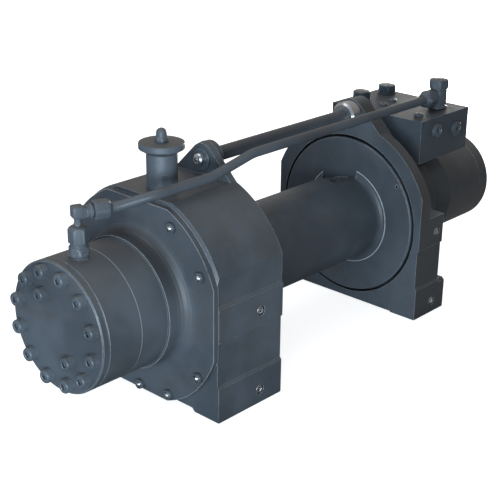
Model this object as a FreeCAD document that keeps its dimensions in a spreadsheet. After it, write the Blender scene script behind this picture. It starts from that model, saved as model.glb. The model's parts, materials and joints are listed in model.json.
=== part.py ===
import FreeCAD, Part
import math
import os

import Sketcher

# Hydraulic planetary winch with a bare rope drum.
# X runs along the drum's axis from the brake end to the motor end, +Z is up, and the origin is
# the centre of the four base holes in the plane of the feet. All sizes are in millimetres.

DRIVING_SIZES = {
    # housings, shared outline
    "axis_height": 136.0,
    "half_depth": 135.0,
    "side_relief": 2.5,
    "arc_reach": 10.5,
    "top_flat_drop": 9.5,
    "foot_width": 43.0,
    "foot_height": 48.0,
    "foot_relief": 4.5,
    "bracket_foot_relief": 1.5,
    "side_pad_top": 20.0,
    "side_pad_bottom": 24.5,
    "base_hole_x": 193.5,
    "base_hole_y": 114.5,
    "base_hole_radius": 7.0,
    "base_hole_depth": 28.0,
    "side_hole_radius": 7.0,
    "side_hole_depth": 12.0,
    "side_hole_foot_height": 19.0,
    "side_hole_pad_drop": 5.0,
    "edge_chamfer": 3.0,
    # gear housing and motor bracket along the axis
    "gear_face": -269.5,
    "gear_length": 117.0,
    "bracket_face": 149.5,
    "bracket_plate": 25.0,
    "bracket_chamfer": 5.5,
    "bracket_length": 75.0,
    "bracket_foot_chamfer": 4.0,
    "bracket_boss_radius": 108.0,
    "bracket_boss_length": 35.0,
    # lugs that hold the tie bar
    "tie_height": 157.3,
    "lug_radius": 22.0,
    "lug_half_base": 64.0,
    "lug_width": 9.5,
    "lug_front_radius": 20.5,
    "lug_front_half_base": 61.6,
    "lug_boss": 8.5,
    "tie_bar_radius": 9.8,
    "tie_bolt_radius": 5.0,
    "tie_washer_radius": 14.0,
    "tie_washer_thickness": 2.5,
    "tie_head_radius": 9.0,
    "tie_head_height": 9.0,
    "collar_radius": 20.0,
    "collar_length": 21.5,
    # drum
    "barrel_radius": 65.0,
    "barrel_bore": 46.0,
    "flange_radius": 120.0,
    "flange_thickness": 14.0,
    "flange_inset": -2.5,
    "root_fillet": 10.0,
    "recess_gap": 4.3,
    "recess_clearance": 3.0,
    "trunnion_radius": 58.0,
    "bush_wall": 8.0,
    "bush_length": 14.0,
    "seal_length": 7.0,
    "rope_hole_radius": 8.0,
    "rope_hole_inset": 21.0,
    "pocket_floor": 57.0,
    "pocket_near_length": 52.5,
    "pocket_far_length": 30.5,
    "pocket_half_width": 33.0,
    "clamp_screw_radius": 5.0,
    "flange_mark_radius": 2.6,
    "flange_mark_circle": 112.0,
    # final gear stage
    "final_module": 4.0,
    "sun_teeth": 12.0,
    "planet_teeth": 18.0,
    "ring_radius": 112.0,
    "ring_width": 46.0,
    "clutch_place": -233.0,
    "final_face": 34.0,
    "final_plate": 10.0,
    "final_plate_radius": 76.0,
    "final_pin_radius": 9.0,
    "final_post_radius": 12.0,
    "sun_shaft_radius": 17.0,
    # first gear stage
    "first_module": 2.25,
    "first_face": 22.0,
    "first_plate": 6.0,
    "first_plate_radius": 46.0,
    "first_pin_radius": 5.0,
    "first_post_radius": 6.0,
    "input_radius": 10.5,
    # end cover
    "cover_radius": 142.0,
    "cover_plate": 8.0,
    "cover_boss_reach": 2.9,
    "cover_boss_length": 36.5,
    "cover_fillet": 15.0,
    "cover_spigot": 4.0,
    "cover_flat_inset": 1.0,
    "cover_top": 131.0,
    "cover_bottom": 133.0,
    "cover_screw_radius": 4.0,
    "cover_screw_head": 6.5,
    "cover_screw_upper": 127.5,
    "cover_screw_lower": 133.0,
    "cover_screw_bottom": 126.0,
    # stage case, brake case and cap
    "case_radius": 84.8,
    "stage_length": 42.6,
    "brake_length": 50.4,
    "cap_thickness": 10.0,
    "case_screw_inset": 13.1,
    "case_screw_radius": 6.0,
    "case_screw_head": 9.0,
    "case_screw_head_height": 11.0,
    "inner_screw_circle": 44.4,
    "piston_bore_wall": 3.7,
    "piston_step": 7.0,
    "disc_thickness": 2.2,
    "brake_hub_radius": 24.0,
    "chamber_length": 6.0,
    "piston_head": 11.5,
    "piston_engagement": 2.0,
    "spring_thickness": 2.5,
    # free-spool clutch
    "clutch_radius": 8.0,
    "clutch_guide_radius": 19.8,
    "clutch_guide_height": 46.0,
    "clutch_guide_bore": 14.0,
    "clutch_notch": 7.0,
    "knob_gap": 1.3,
    "knob_radius": 29.3,
    "knob_thickness": 9.8,
    "spring_wire": 1.2,
    # motor
    "motor_neck_radius": 64.0,
    "motor_neck_length": 87.5,
    "motor_radius": 73.3,
    "motor_flare": 25.0,
    "motor_case_end": 408.0,
    "motor_cover": 25.0,
    "pump_gear_module": 2.5,
    "pump_gear_teeth": 16.0,
    "pump_gear_face": 60.0,
    "motor_bolt_circle": 56.0,
    "motor_bolt_radius": 5.0,
    "coupling_radius": 18.0,
    # valve block
    "block_start": 210.5,
    "block_length": 125.5,
    "block_half_depth": 83.7,
    "block_bottom": 84.0,
    "block_height": 64.3,
    "port_plug_radius": 10.5,
    "port_plug_height": 5.0,
    "hex_plug_radius": 13.0,
    "hex_plug_height": 14.5,
    "block_screw_radius": 6.5,
    # brake release line
    "tube_radius": 6.35,
    "brake_port": -374.0,
    "brake_port_side": 5.0,
    "tube_depth": 52.0,
    "tube_over_case": 54.7,
    "tube_over_arc": 7.0,
    "tube_over_block": 18.7,
    "tube_leg": 14.0,
    "block_port": 300.0,
    "elbow_radius": 8.0,
    "adapter_radius": 12.5,
    "adapter_across": 23.0,
    "nut_across": 26.0,
    "nut_length": 20.0,
    # fits
    "running_fit": 0.05,
    "face_gap": 0.3,
}

document = FreeCAD.newDocument("winch")
sheet = document.addObject("Spreadsheet::Sheet", "Sizes")


class Size:
    """A number together with the formula that ties it to the sheet."""

    def __init__(self, value, formula):
        self.value = float(value)
        self.formula = formula

    def __add__(self, other):
        return combine(self, other, "+")

    def __radd__(self, other):
        return combine(other, self, "+")

    def __sub__(self, other):
        return combine(self, other, "-")

    def __rsub__(self, other):
        return combine(other, self, "-")

    def __mul__(self, other):
        return combine(self, other, "*")

    def __rmul__(self, other):
        return combine(other, self, "*")

    def __truediv__(self, other):
        return combine(self, other, "/")

    def __neg__(self):
        return combine(0.0, self, "-")


def number(size):
    return size.value if isinstance(size, Size) else float(size)


def formula(size):
    return size.formula if isinstance(size, Size) else f"{float(size):.9f}"


OPERATIONS = {
    "+": lambda a, b: a + b,
    "-": lambda a, b: a - b,
    "*": lambda a, b: a * b,
    "/": lambda a, b: a / b,
}


def combine(left, right, sign):
    value = OPERATIONS[sign](number(left), number(right))
    return Size(value, f"({formula(left)} {sign} {formula(right)})")


def root(size):
    return Size(math.sqrt(number(size)), f"sqrt({formula(size)})")


class Sheet:
    """The driving sizes by name."""


def fill_sheet():
    sizes = Sheet()
    for row, (name, value) in enumerate(DRIVING_SIZES.items(), start=1):
        sheet.set(f"A{row}", name)
        sheet.set(f"B{row}", str(value))
        sheet.setAlias(f"B{row}", name)
        setattr(sizes, name, Size(value, f"Sizes.{name}"))
    document.recompute()
    return sizes


s = fill_sheet()


def bind(thing, prop, size):
    """Give a property its size, by formula where it comes from the sheet."""
    if isinstance(size, Size):
        thing.setExpression(prop, size.formula)
    else:
        setattr(thing, prop, float(size))


def place(thing, x=0.0, y=0.0, z=0.0):
    position = FreeCAD.Vector(number(x), number(y), number(z))
    thing.Placement = FreeCAD.Placement(position, FreeCAD.Rotation())
    for axis, size in (("x", x), ("y", y), ("z", z)):
        if isinstance(size, Size):
            thing.setExpression(f"Placement.Base.{axis}", size.formula)


# Places along the drum's axis that several pieces share
gear_back = s.gear_face + s.gear_length
arc_radius = s.half_depth + s.arc_reach
housing_top = arc_radius - s.top_flat_drop
recess_radius = s.flange_radius + s.recess_gap
recess_depth = s.flange_inset + s.flange_thickness + s.recess_clearance
left_flange_face = gear_back - s.flange_inset
left_flange_back = left_flange_face - s.flange_thickness
right_flange_face = s.bracket_face + s.flange_inset
right_flange_back = right_flange_face + s.flange_thickness
left_web_face = gear_back - recess_depth
web_thickness = s.bush_length + s.seal_length + 1.0
left_web_inner = left_web_face - web_thickness
right_web_face = s.bracket_face + recess_depth
right_web_inner = right_web_face + web_thickness
bush_radius = s.trunnion_radius + s.bush_wall
bracket_back = s.bracket_face + s.bracket_length
boss_end = s.bracket_face + s.bracket_plate + s.bracket_boss_length
foot_inner = s.half_depth - s.foot_width
base_z = -s.axis_height

cover_face = s.gear_face - s.cover_plate
boss_face = cover_face - s.cover_boss_length + s.cover_plate
stage_face = boss_face - s.stage_length
cover_boss_radius = s.case_radius + s.cover_boss_reach
case_screw_circle = s.case_radius - s.case_screw_inset
piston_bore = case_screw_circle - s.case_screw_radius - s.piston_bore_wall
disc_bore = piston_bore - s.piston_step
brake_face = stage_face - s.brake_length
cap_face = brake_face - s.cap_thickness

ring_teeth = s.sun_teeth + 2.0 * s.planet_teeth
final_pin_circle = s.final_module * (s.sun_teeth + s.planet_teeth) / 2.0
first_pin_circle = s.first_module * (s.sun_teeth + s.planet_teeth) / 2.0
final_start = s.clutch_place - s.final_face / 2.0
final_rear_plate = final_start + s.final_face + 3.0
final_front_plate = final_start - 4.0 - s.final_plate
first_middle = (boss_face + stage_face) / 2.0
first_start = first_middle - s.first_face / 2.0
first_front_plate = first_start - 3.0 - s.first_plate
first_rear_plate = first_start + s.first_face + 3.0
first_rear_thickness = 1.5 * s.first_plate

disc_end = stage_face - 4.5
disc_pitch = s.disc_thickness + s.face_gap
DISC_COUNT = 7
disc_start = disc_end - DISC_COUNT * disc_pitch
piston_tip = disc_start
chamber_right = piston_tip - s.piston_engagement
chamber_left = chamber_right - s.chamber_length
piston_left = chamber_left - s.piston_head
input_start = disc_start

motor_start = boss_end
neck_end = motor_start + s.motor_neck_length
flare_end = neck_end + s.motor_flare
motor_end = s.motor_case_end + s.motor_cover
pump_pitch = s.pump_gear_module * s.pump_gear_teeth / 2.0
input_end = right_web_inner + 6.0
coupling_start = right_web_inner

clutch_tip = s.ring_radius - s.clutch_notch + 1.0
knob_bottom = housing_top + s.clutch_guide_height + s.knob_gap
tube_depth = -s.tube_depth
block_top = s.block_bottom + s.block_height
block_end = s.block_start + s.block_length
ring_cavity = s.ring_radius + s.running_fit


def plane(body, role):
    return next(item for item in body.Origin.OriginFeatures if item.Role == role)


def new_body(label, x=0.0, y=0.0, z=s.axis_height):
    body = document.addObject("PartDesign::Body", label)
    body.Label = label
    place(body, x, y, z)
    return body


def tilted_sketch(body, angle, distance):
    """A sketch on a plane that faces away from the X axis, at an angle from -Y towards +Z."""
    sketch = body.newObject("Sketcher::SketchObject", f"{body.Name}_sketch")
    sketch.AttachmentSupport = [(plane(body, "XY_Plane"), "")]
    sketch.MapMode = "FlatFace"
    across = -math.cos(math.radians(angle))
    upward = math.sin(math.radians(angle))
    turn = FreeCAD.Rotation(FreeCAD.Vector(1, 0, 0), 90.0 - angle)
    base = FreeCAD.Vector(0, number(distance) * across, number(distance) * upward)
    sketch.AttachmentOffset = FreeCAD.Placement(base, turn)
    sketch.setExpression("AttachmentOffset.Base.y", (distance * across).formula)
    sketch.setExpression("AttachmentOffset.Base.z", (distance * upward).formula)
    return sketch


def new_sketch(body, role, offset=0.0):
    sketch = body.newObject("Sketcher::SketchObject", f"{body.Name}_sketch")
    sketch.AttachmentSupport = [(plane(body, role), "")]
    sketch.MapMode = "FlatFace"
    if isinstance(offset, Size):
        sketch.setExpression("AttachmentOffset.Base.z", offset.formula)
    else:
        sketch.AttachmentOffset = FreeCAD.Placement(FreeCAD.Vector(0, 0, offset), FreeCAD.Rotation())
    return sketch


def dimension(sketch, kind, *target):
    *where, size = target
    index = sketch.addConstraint(Sketcher.Constraint(kind, *where, number(size)))
    if isinstance(size, Size):
        sketch.setExpression(f"Constraints[{index}]", size.formula)


def pin_point(sketch, edge, end, u, v):
    dimension(sketch, "DistanceX", -1, 1, edge, end, u)
    dimension(sketch, "DistanceY", -1, 1, edge, end, v)


def draw_loop(sketch, points):
    """A closed loop of straight lines through the points, each point held by its two sizes."""
    corners = [FreeCAD.Vector(number(u), number(v), 0) for u, v in points]
    first = sketch.GeometryCount
    count = len(points)
    for i in range(count):
        sketch.addGeometry(Part.LineSegment(corners[i], corners[(i + 1) % count]), False)
    for i in range(count):
        sketch.addConstraint(
            Sketcher.Constraint("Coincident", first + i, 2, first + (i + 1) % count, 1)
        )
    for i, (u, v) in enumerate(points):
        pin_point(sketch, first + i, 1, u, v)


def draw_circle(sketch, u, v, radius):
    centre = FreeCAD.Vector(number(u), number(v), 0)
    edge = sketch.addGeometry(Part.Circle(centre, FreeCAD.Vector(0, 0, 1), number(radius)), False)
    pin_point(sketch, edge, 3, u, v)
    dimension(sketch, "Radius", edge, radius)


def draw_box(sketch, u0, u1, v0, v1):
    draw_loop(sketch, [(u0, v0), (u1, v0), (u1, v1), (u0, v1)])


def revolve(body, points):
    """Turn a profile of (place along the axis, radius) points about the body's X axis."""
    sketch = new_sketch(body, "XZ_Plane")
    draw_loop(sketch, points)
    feature = body.newObject("PartDesign::Revolution", f"{body.Name}_turned")
    feature.Profile = sketch
    feature.ReferenceAxis = (sketch, ["H_Axis"])
    feature.Angle = 360.0
    return feature


def turned(label, points, **at):
    body = new_body(label, **at)
    revolve(body, points)
    return body


def turned_upright(label, points, **at):
    """The same about the body's Z axis, from (radius, height) points."""
    body = new_body(label, **at)
    sketch = new_sketch(body, "XZ_Plane")
    draw_loop(sketch, points)
    feature = body.newObject("PartDesign::Revolution", f"{body.Name}_turned")
    feature.Profile = sketch
    feature.ReferenceAxis = (sketch, ["V_Axis"])
    feature.Angle = 360.0
    return body


def pad(body, sketch, length, backwards=False):
    feature = body.newObject("PartDesign::Pad", f"{body.Name}_pad")
    feature.Profile = sketch
    bind(feature, "Length", length)
    feature.Reversed = backwards
    return feature


def pocket(body, sketch, depth, forwards=False):
    """Cut a sketch into the body, against the sketch's normal unless forwards."""
    feature = body.newObject("PartDesign::Pocket", f"{body.Name}_pocket")
    feature.Profile = sketch
    bind(feature, "Length", depth)
    feature.Reversed = forwards
    return feature


def bore(body, start, depth, radius, u=0.0, v=0.0):
    """A round hole along +X from a place on the axis."""
    sketch = new_sketch(body, "YZ_Plane", start)
    draw_circle(sketch, u, v, radius)
    return pocket(body, sketch, depth, forwards=True)


def round_places(circle, angles):
    """Centres on a circle about the axis, at angles from -Y towards +Z."""
    return [
        (-circle * math.cos(math.radians(a)), circle * math.sin(math.radians(a))) for a in angles
    ]


def chamfer_arc(body, x, size):
    """Break the edge of the half-round top that lies in the plane at x."""
    tip = body.Tip
    names = []
    for index, edge in enumerate(tip.Shape.Edges, start=1):
        middle = edge.valueAt((edge.FirstParameter + edge.LastParameter) / 2.0)
        in_plane = edge.BoundBox.XLength < 1e-6 and abs(edge.BoundBox.XMin - number(x)) < 1e-6
        if in_plane and abs(math.hypot(middle.y, middle.z) - number(arc_radius)) < 1e-6:
            names.append(f"Edge{index}")
    feature = body.newObject("PartDesign::Chamfer", f"{body.Name}_edge")
    feature.Base = (tip, names)
    bind(feature, "Size", size)
    return feature


def bores(body, start, depth, radius, centres):
    sketch = new_sketch(body, "YZ_Plane", start)
    for u, v in centres:
        draw_circle(sketch, u, v, radius)
    return pocket(body, sketch, depth, forwards=True)


CASE_SCREW_ANGLES = [15 + 30 * k for k in range(12)]
INNER_SCREW_ANGLES = [120, 300]
COVER_UPPER_ANGLES = [28, 60, 120, 152]
COVER_LOWER_ANGLES = [-35.5, -66, -114, -144.5]
COVER_BOTTOM_ANGLE = [-90]
POST_ANGLES = [60, 180, 300]
PLANET_ANGLES = [0, 120, 240]
CLUTCH_NOTCHES = 6
POCKET_ANGLE = 103
FLANGE_MARK_ANGLE = [36]
MOTOR_BOLT_ANGLES = [45, 135, 225, 315]
SIDES = (-1.0, 1.0)

# Places on the valve block, as shares of its length and of its half depth or height
BLOCK_HEX_PLUGS = [(0.35, 0.735), (0.84, 0.687)]
BLOCK_SCREWS = [(0.33, 0.2), (0.566, 0.25), (0.235, -0.69)]
BLOCK_PORTS = [(0.327, 0.687), (0.757, 0.578)]

case_screw_places = round_places(case_screw_circle, CASE_SCREW_ANGLES)
inner_screw_places = round_places(s.inner_screw_circle, INNER_SCREW_ANGLES)
cover_screw_places = [
    *round_places(s.cover_screw_upper, COVER_UPPER_ANGLES),
    *round_places(s.cover_screw_lower, COVER_LOWER_ANGLES),
    *round_places(s.cover_screw_bottom, COVER_BOTTOM_ANGLE),
]
motor_bolt_places = round_places(s.motor_bolt_circle, MOTOR_BOLT_ANGLES)


def housing_outline(sketch, relief, upper="stepped"):
    """Half-round top on two flat sides with raised pads, standing on two feet.

    Above the pads the sides are stepped in, plain, or end there in a flat top.
    """
    outer = s.half_depth
    inner = s.half_depth - s.side_relief
    foot_top = base_z + s.foot_height
    side = [
        (outer, base_z),
        (outer, foot_top),
        (inner, foot_top + s.side_relief),
        (inner, -s.side_pad_bottom - s.side_relief),
        (outer, -s.side_pad_bottom),
    ]
    if upper != "plain":
        side += [(outer, s.side_pad_top)]
    edge = outer
    if upper == "stepped":
        edge = inner
        side += [(inner, s.side_pad_top + s.side_relief)]
    shoulder = root(arc_radius * arc_radius - edge * edge)
    under = [
        (-foot_inner, base_z),
        (-foot_inner + relief, base_z + relief),
        (foot_inner - relief, base_z + relief),
        (foot_inner, base_z),
    ]
    mirrored = [(-u, v) for u, v in reversed(side)]
    if upper == "flat":
        draw_loop(sketch, side + mirrored + under)
        return
    loop = [(-edge, shoulder), *mirrored, *under, *side, (edge, shoulder)]
    corners = [FreeCAD.Vector(number(u), number(v), 0) for u, v in loop]
    first = sketch.GeometryCount
    for a, b in zip(corners, corners[1:]):
        sketch.addGeometry(Part.LineSegment(a, b), False)
    count = len(loop) - 1
    for i in range(count - 1):
        sketch.addConstraint(Sketcher.Constraint("Coincident", first + i, 2, first + i + 1, 1))
    dimension(sketch, "DistanceX", -1, 1, first, 1, loop[0][0])
    for i, (u, v) in enumerate(loop[1:-1], start=1):
        pin_point(sketch, first + i, 1, u, v)
    dimension(sketch, "DistanceX", -1, 1, first + count - 1, 2, loop[-1][0])
    start = math.atan2(number(shoulder), number(edge))
    circle = Part.Circle(FreeCAD.Vector(0, 0, 0), FreeCAD.Vector(0, 0, 1), number(arc_radius))
    arc = sketch.addGeometry(Part.ArcOfCircle(circle, start, math.pi - start), False)
    sketch.addConstraint(Sketcher.Constraint("Coincident", arc, 3, -1, 1))
    sketch.addConstraint(Sketcher.Constraint("Coincident", arc, 1, first + count - 1, 2))
    sketch.addConstraint(Sketcher.Constraint("Coincident", arc, 2, first, 1))
    dimension(sketch, "Radius", arc, arc_radius)


def lug_outline(body, start, radius, half_base):
    """The rounded lug for the tie bar, spreading down into the housing's round top."""
    reach = s.tie_height
    low = root(arc_radius * arc_radius - s.lug_half_base * s.lug_half_base) - 6.0
    base_gap = math.hypot(number(half_base), number(reach - low))
    rise = math.atan2(number(reach - low), number(half_base))
    lean = rise + math.asin(number(radius) / base_gap)
    sketch = new_sketch(body, "YZ_Plane", start)
    tangent_u = radius * math.sin(lean)
    tangent_v = reach + radius * math.cos(lean)
    corners = [
        (tangent_u, tangent_v),
        (half_base, low),
        (-half_base, low),
        (-tangent_u, tangent_v),
    ]
    vectors = [FreeCAD.Vector(number(u), number(v), 0) for u, v in corners]
    for a, b in zip(vectors, vectors[1:]):
        sketch.addGeometry(Part.LineSegment(a, b), False)
    centre = FreeCAD.Vector(0, number(reach), 0)
    circle = Part.Circle(centre, FreeCAD.Vector(0, 0, 1), number(radius))
    half = math.pi / 2.0 - lean
    arc = sketch.addGeometry(Part.ArcOfCircle(circle, half, math.pi - half), False)
    for i in (0, 1):
        sketch.addConstraint(Sketcher.Constraint("Coincident", i, 2, i + 1, 1))
    pin_point(sketch, 0, 2, *corners[1])
    pin_point(sketch, 1, 2, *corners[2])
    pin_point(sketch, arc, 3, 0.0, reach)
    dimension(sketch, "Radius", arc, radius)
    sketch.addConstraint(Sketcher.Constraint("Tangent", 0, 1, arc, 1))
    sketch.addConstraint(Sketcher.Constraint("Tangent", 2, 2, arc, 2))
    return sketch


def tap_base_and_sides(body, x):
    """Threaded holes up into both feet, and one into each foot and pad from the side."""
    below = new_sketch(body, "XY_Plane", base_z)
    for side in SIDES:
        draw_circle(below, x, side * s.base_hole_y, s.base_hole_radius)
    pocket(body, below, s.base_hole_depth, forwards=True)
    for side in SIDES:
        offset = -side * (s.half_depth - s.side_hole_depth)
        sideways = new_sketch(body, "XZ_Plane", offset)
        draw_circle(sideways, x, base_z + s.side_hole_foot_height, s.side_hole_radius)
        draw_circle(sideways, x, -s.side_hole_pad_drop, s.side_hole_radius)
        pocket(body, sideways, s.side_hole_depth + 1.0, forwards=side < 0)


def gear_housing():
    body = new_body("gear_housing")
    outline = new_sketch(body, "YZ_Plane", s.gear_face)
    housing_outline(outline, s.foot_relief)
    pad(body, outline, s.gear_length)
    document.recompute()
    chamfer_arc(body, s.gear_face, s.edge_chamfer)
    lug_face = gear_back - s.lug_width
    flat = new_sketch(body, "XY_Plane", housing_top)
    draw_box(flat, s.gear_face - 1.0, lug_face, -s.half_depth, s.half_depth)
    pocket(body, flat, arc_radius, forwards=True)
    front = lug_outline(body, lug_face, s.lug_front_radius, s.lug_front_half_base)
    lug = body.newObject("PartDesign::AdditiveLoft", "gear_housing_lug")
    lug.Profile = front
    lug.Sections = [lug_outline(body, gear_back, s.lug_radius, s.lug_half_base)]
    lug.Ruled = True
    boss = new_sketch(body, "YZ_Plane", gear_back - 1.0)
    draw_circle(boss, 0.0, s.tie_height, s.lug_radius - 0.5)
    pad(body, boss, s.lug_boss + 1.0)
    bore(body, s.gear_face, left_web_inner - s.gear_face, ring_cavity)
    bore(body, left_web_inner, web_thickness, bush_radius)
    bore(body, left_web_face, recess_depth, recess_radius)
    bore(body, lug_face, s.lug_width + s.lug_boss, s.tie_bolt_radius, 0.0, s.tie_height)
    bores(body, s.gear_face, 22.0, s.cover_screw_radius, cover_screw_places)
    tap_base_and_sides(body, -s.base_hole_x)
    plunger_bore = new_sketch(body, "XY_Plane", housing_top)
    draw_circle(plunger_bore, s.clutch_place, 0.0, s.clutch_radius + s.running_fit)
    pocket(body, plunger_bore, housing_top - s.trunnion_radius - s.bush_wall)


def motor_bracket():
    body = new_body("motor_bracket")
    outline = new_sketch(body, "YZ_Plane", s.bracket_face)
    housing_outline(outline, s.bracket_foot_relief, "plain")
    pad(body, outline, s.bracket_plate)
    document.recompute()
    plate_back = s.bracket_face + s.bracket_plate
    chamfer_arc(body, plate_back, s.bracket_chamfer)
    lower = new_sketch(body, "YZ_Plane", plate_back)
    housing_outline(lower, s.bracket_foot_relief, "flat")
    pad(body, lower, s.bracket_boss_length)
    boss = new_sketch(body, "YZ_Plane", plate_back)
    draw_circle(boss, 0.0, 0.0, s.bracket_boss_radius)
    pad(body, boss, s.bracket_boss_length)
    feet = new_sketch(body, "YZ_Plane", boss_end)
    foot_top = base_z + s.foot_height
    for side in SIDES:
        draw_loop(
            feet,
            [
                (side * foot_inner, base_z),
                (side * s.half_depth, base_z),
                (side * s.half_depth, foot_top - s.bracket_foot_chamfer),
                (side * (s.half_depth - s.bracket_foot_chamfer), foot_top),
                (side * foot_inner, foot_top),
            ],
        )
    pad(body, feet, bracket_back - boss_end)
    pad(body, lug_outline(body, s.bracket_face, s.lug_radius, s.lug_half_base), s.bracket_plate)
    bore(body, s.bracket_face, recess_depth, recess_radius)
    bore(body, right_web_face, web_thickness, bush_radius)
    bore(body, right_web_inner, boss_end - right_web_inner, s.coupling_radius + 12.0)
    bore(body, s.bracket_face, s.bracket_plate, s.tie_bolt_radius, 0.0, s.tie_height)
    bores(body, boss_end - 18.0, 18.0, s.motor_bolt_radius, motor_bolt_places)
    tap_base_and_sides(body, s.base_hole_x)


def involute(radius, base):
    if radius <= base:
        return 0.0
    return math.sqrt((radius / base) ** 2 - 1.0) - math.acos(base / radius)


PRESSURE_ANGLE = math.radians(25.0)


def gear_wire(module, teeth, inner, outer, phase, thinning, x, y, z):
    """One closed outline of straight-sided steps along each involute, in a plane across the axis."""
    pitch = module * teeth / 2.0
    base = pitch * math.cos(PRESSURE_ANGLE)
    radii = [inner + (outer - inner) * step / 3.0 for step in range(4)]
    points = []
    for tooth in range(int(teeth)):
        middle = phase + 2.0 * math.pi * tooth / teeth
        halves = [
            math.pi / (2.0 * teeth) + involute(pitch, base) - involute(r, base) - thinning / (2 * pitch)
            for r in radii
        ]
        rising = [(r, middle - half) for r, half in zip(radii, halves)]
        falling = [(r, middle + half) for r, half in reversed(list(zip(radii, halves)))]
        for r, angle in rising + falling:
            points.append(FreeCAD.Vector(x, y - r * math.cos(angle), z + r * math.sin(angle)))
    return Part.makePolygon(points + points[:1])


def toothed(module, teeth, inner, outer, phase, thinning, x, width, y=0.0, z=0.0):
    wire = gear_wire(module, teeth, inner, outer, phase, thinning, x, y, z)
    return Part.Face(wire).extrude(FreeCAD.Vector(width, 0, 0))


def rod(radius, start, length, y=0.0, z=0.0):
    return Part.makeCylinder(
        number(radius),
        number(length),
        FreeCAD.Vector(number(start), number(y), number(z)),
        FreeCAD.Vector(1, 0, 0),
    )


def shaped(label, shape, x=0.0, z=s.axis_height):
    """A piece whose form comes from the shape functions, placed once it has its shape."""
    piece = document.addObject("Part::Feature", label)
    piece.Label = label
    piece.Shape = shape
    place(piece, x=x, z=z)
    return piece


BACKLASH = 0.2
ADDENDUM = 0.9
DEDENDUM = 1.2
RING_ADDENDUM = 0.8


def gear(label, module, teeth, phase, start, width, bore_radius, y=0.0, z=0.0, extra=None):
    m = number(module)
    n = number(teeth)
    pitch = m * n / 2.0
    solid = toothed(
        m, n, pitch - DEDENDUM * m, pitch + ADDENDUM * m, phase, BACKLASH / 2.0,
        number(start), number(width), number(y), number(z),
    )
    if extra is not None:
        solid = solid.fuse(extra).removeSplitter()
    if bore_radius is not None:
        solid = solid.cut(rod(bore_radius, number(start) - 80.0, number(width) + 180.0, y, z))
    return shaped(label, solid)


def planet_phase(angle):
    """The turn that puts a planet's gap on the sun's tooth, for a sun with a tooth at angle 0."""
    sun = number(s.sun_teeth)
    planet = number(s.planet_teeth)
    meeting = 0.5 - sun * angle / (2.0 * math.pi)
    return angle + math.pi - 2.0 * math.pi / planet * meeting


def ring_phase():
    planet = number(s.planet_teeth)
    ring = number(ring_teeth)
    gap = planet * (0.0 - planet_phase(0.0)) / (2.0 * math.pi) - 0.5
    return -2.0 * math.pi * gap / ring


def ring_space(module, start, width):
    """The space inside a ring gear, cut from its blank."""
    m = number(module)
    n = number(ring_teeth)
    pitch = m * n / 2.0
    return toothed(
        m, n, pitch - RING_ADDENDUM * m, pitch + DEDENDUM * m,
        ring_phase() + math.pi / n, -BACKLASH / 2.0, number(start), number(width),
    )


def final_ring_gear():
    start = s.clutch_place - s.ring_width / 2.0
    blank = rod(s.ring_radius, start, s.ring_width)
    ring = blank.cut(ring_space(s.final_module, number(start) - 1.0, number(s.ring_width) + 2.0))
    for k in range(CLUTCH_NOTCHES):
        angle = 2.0 * math.pi * k / CLUTCH_NOTCHES
        outward = FreeCAD.Vector(0, math.sin(angle), math.cos(angle))
        foot = FreeCAD.Vector(number(s.clutch_place), 0, 0) + outward * number(
            s.ring_radius - s.clutch_notch
        )
        notch = Part.makeCylinder(number(s.clutch_radius) + 0.4, 20.0, foot, outward)
        ring = ring.cut(notch)
    shaped("final_ring_gear", ring)


def stage_case():
    blank = rod(s.case_radius, stage_face, s.stage_length)
    space = ring_space(s.first_module, number(stage_face) - 1.0, number(s.stage_length) + 2.0)
    case = blank.cut(space)
    for u, v in case_screw_places:
        case = case.cut(rod(s.case_screw_radius + 0.3, stage_face, s.stage_length, u, v))
    shaped("stage_case", case)


def end_cover():
    steps = 5
    arc = []
    for k in range(steps + 1):
        angle = math.pi / 2.0 * k / steps
        arc.append(
            (
                cover_face - s.cover_fillet + s.cover_fillet * math.sin(angle),
                cover_boss_radius + s.cover_fillet - s.cover_fillet * math.cos(angle),
            )
        )
    points = [(boss_face, 62.0), (boss_face, cover_boss_radius), *arc]
    points += [
        (cover_face, s.cover_radius),
        (s.gear_face, s.cover_radius),
        (s.gear_face, s.ring_radius),
        (s.gear_face + s.cover_spigot, s.ring_radius),
        (s.gear_face + s.cover_spigot, 100.0),
        (s.gear_face, 100.0),
        (s.gear_face, 28.0),
        (cover_face - 3.0, 28.0),
        (cover_face - 3.0, 62.0),
    ]
    body = turned("end_cover", points)
    flats = new_sketch(body, "YZ_Plane", cover_face)
    edge = s.half_depth - s.cover_flat_inset
    far = s.cover_radius + 5.0
    draw_box(flats, edge, far, -far, far)
    draw_box(flats, -far, -edge, -far, far)
    draw_box(flats, -edge + 1.0, edge - 1.0, -far, -s.cover_bottom)
    draw_box(flats, -edge + 1.0, edge - 1.0, s.cover_top, far)
    pocket(body, flats, s.cover_plate, forwards=True)
    bores(body, cover_face, s.cover_plate, s.cover_screw_radius + 0.3, cover_screw_places)
    bores(body, boss_face, 16.0, s.case_screw_radius, case_screw_places)


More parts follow.
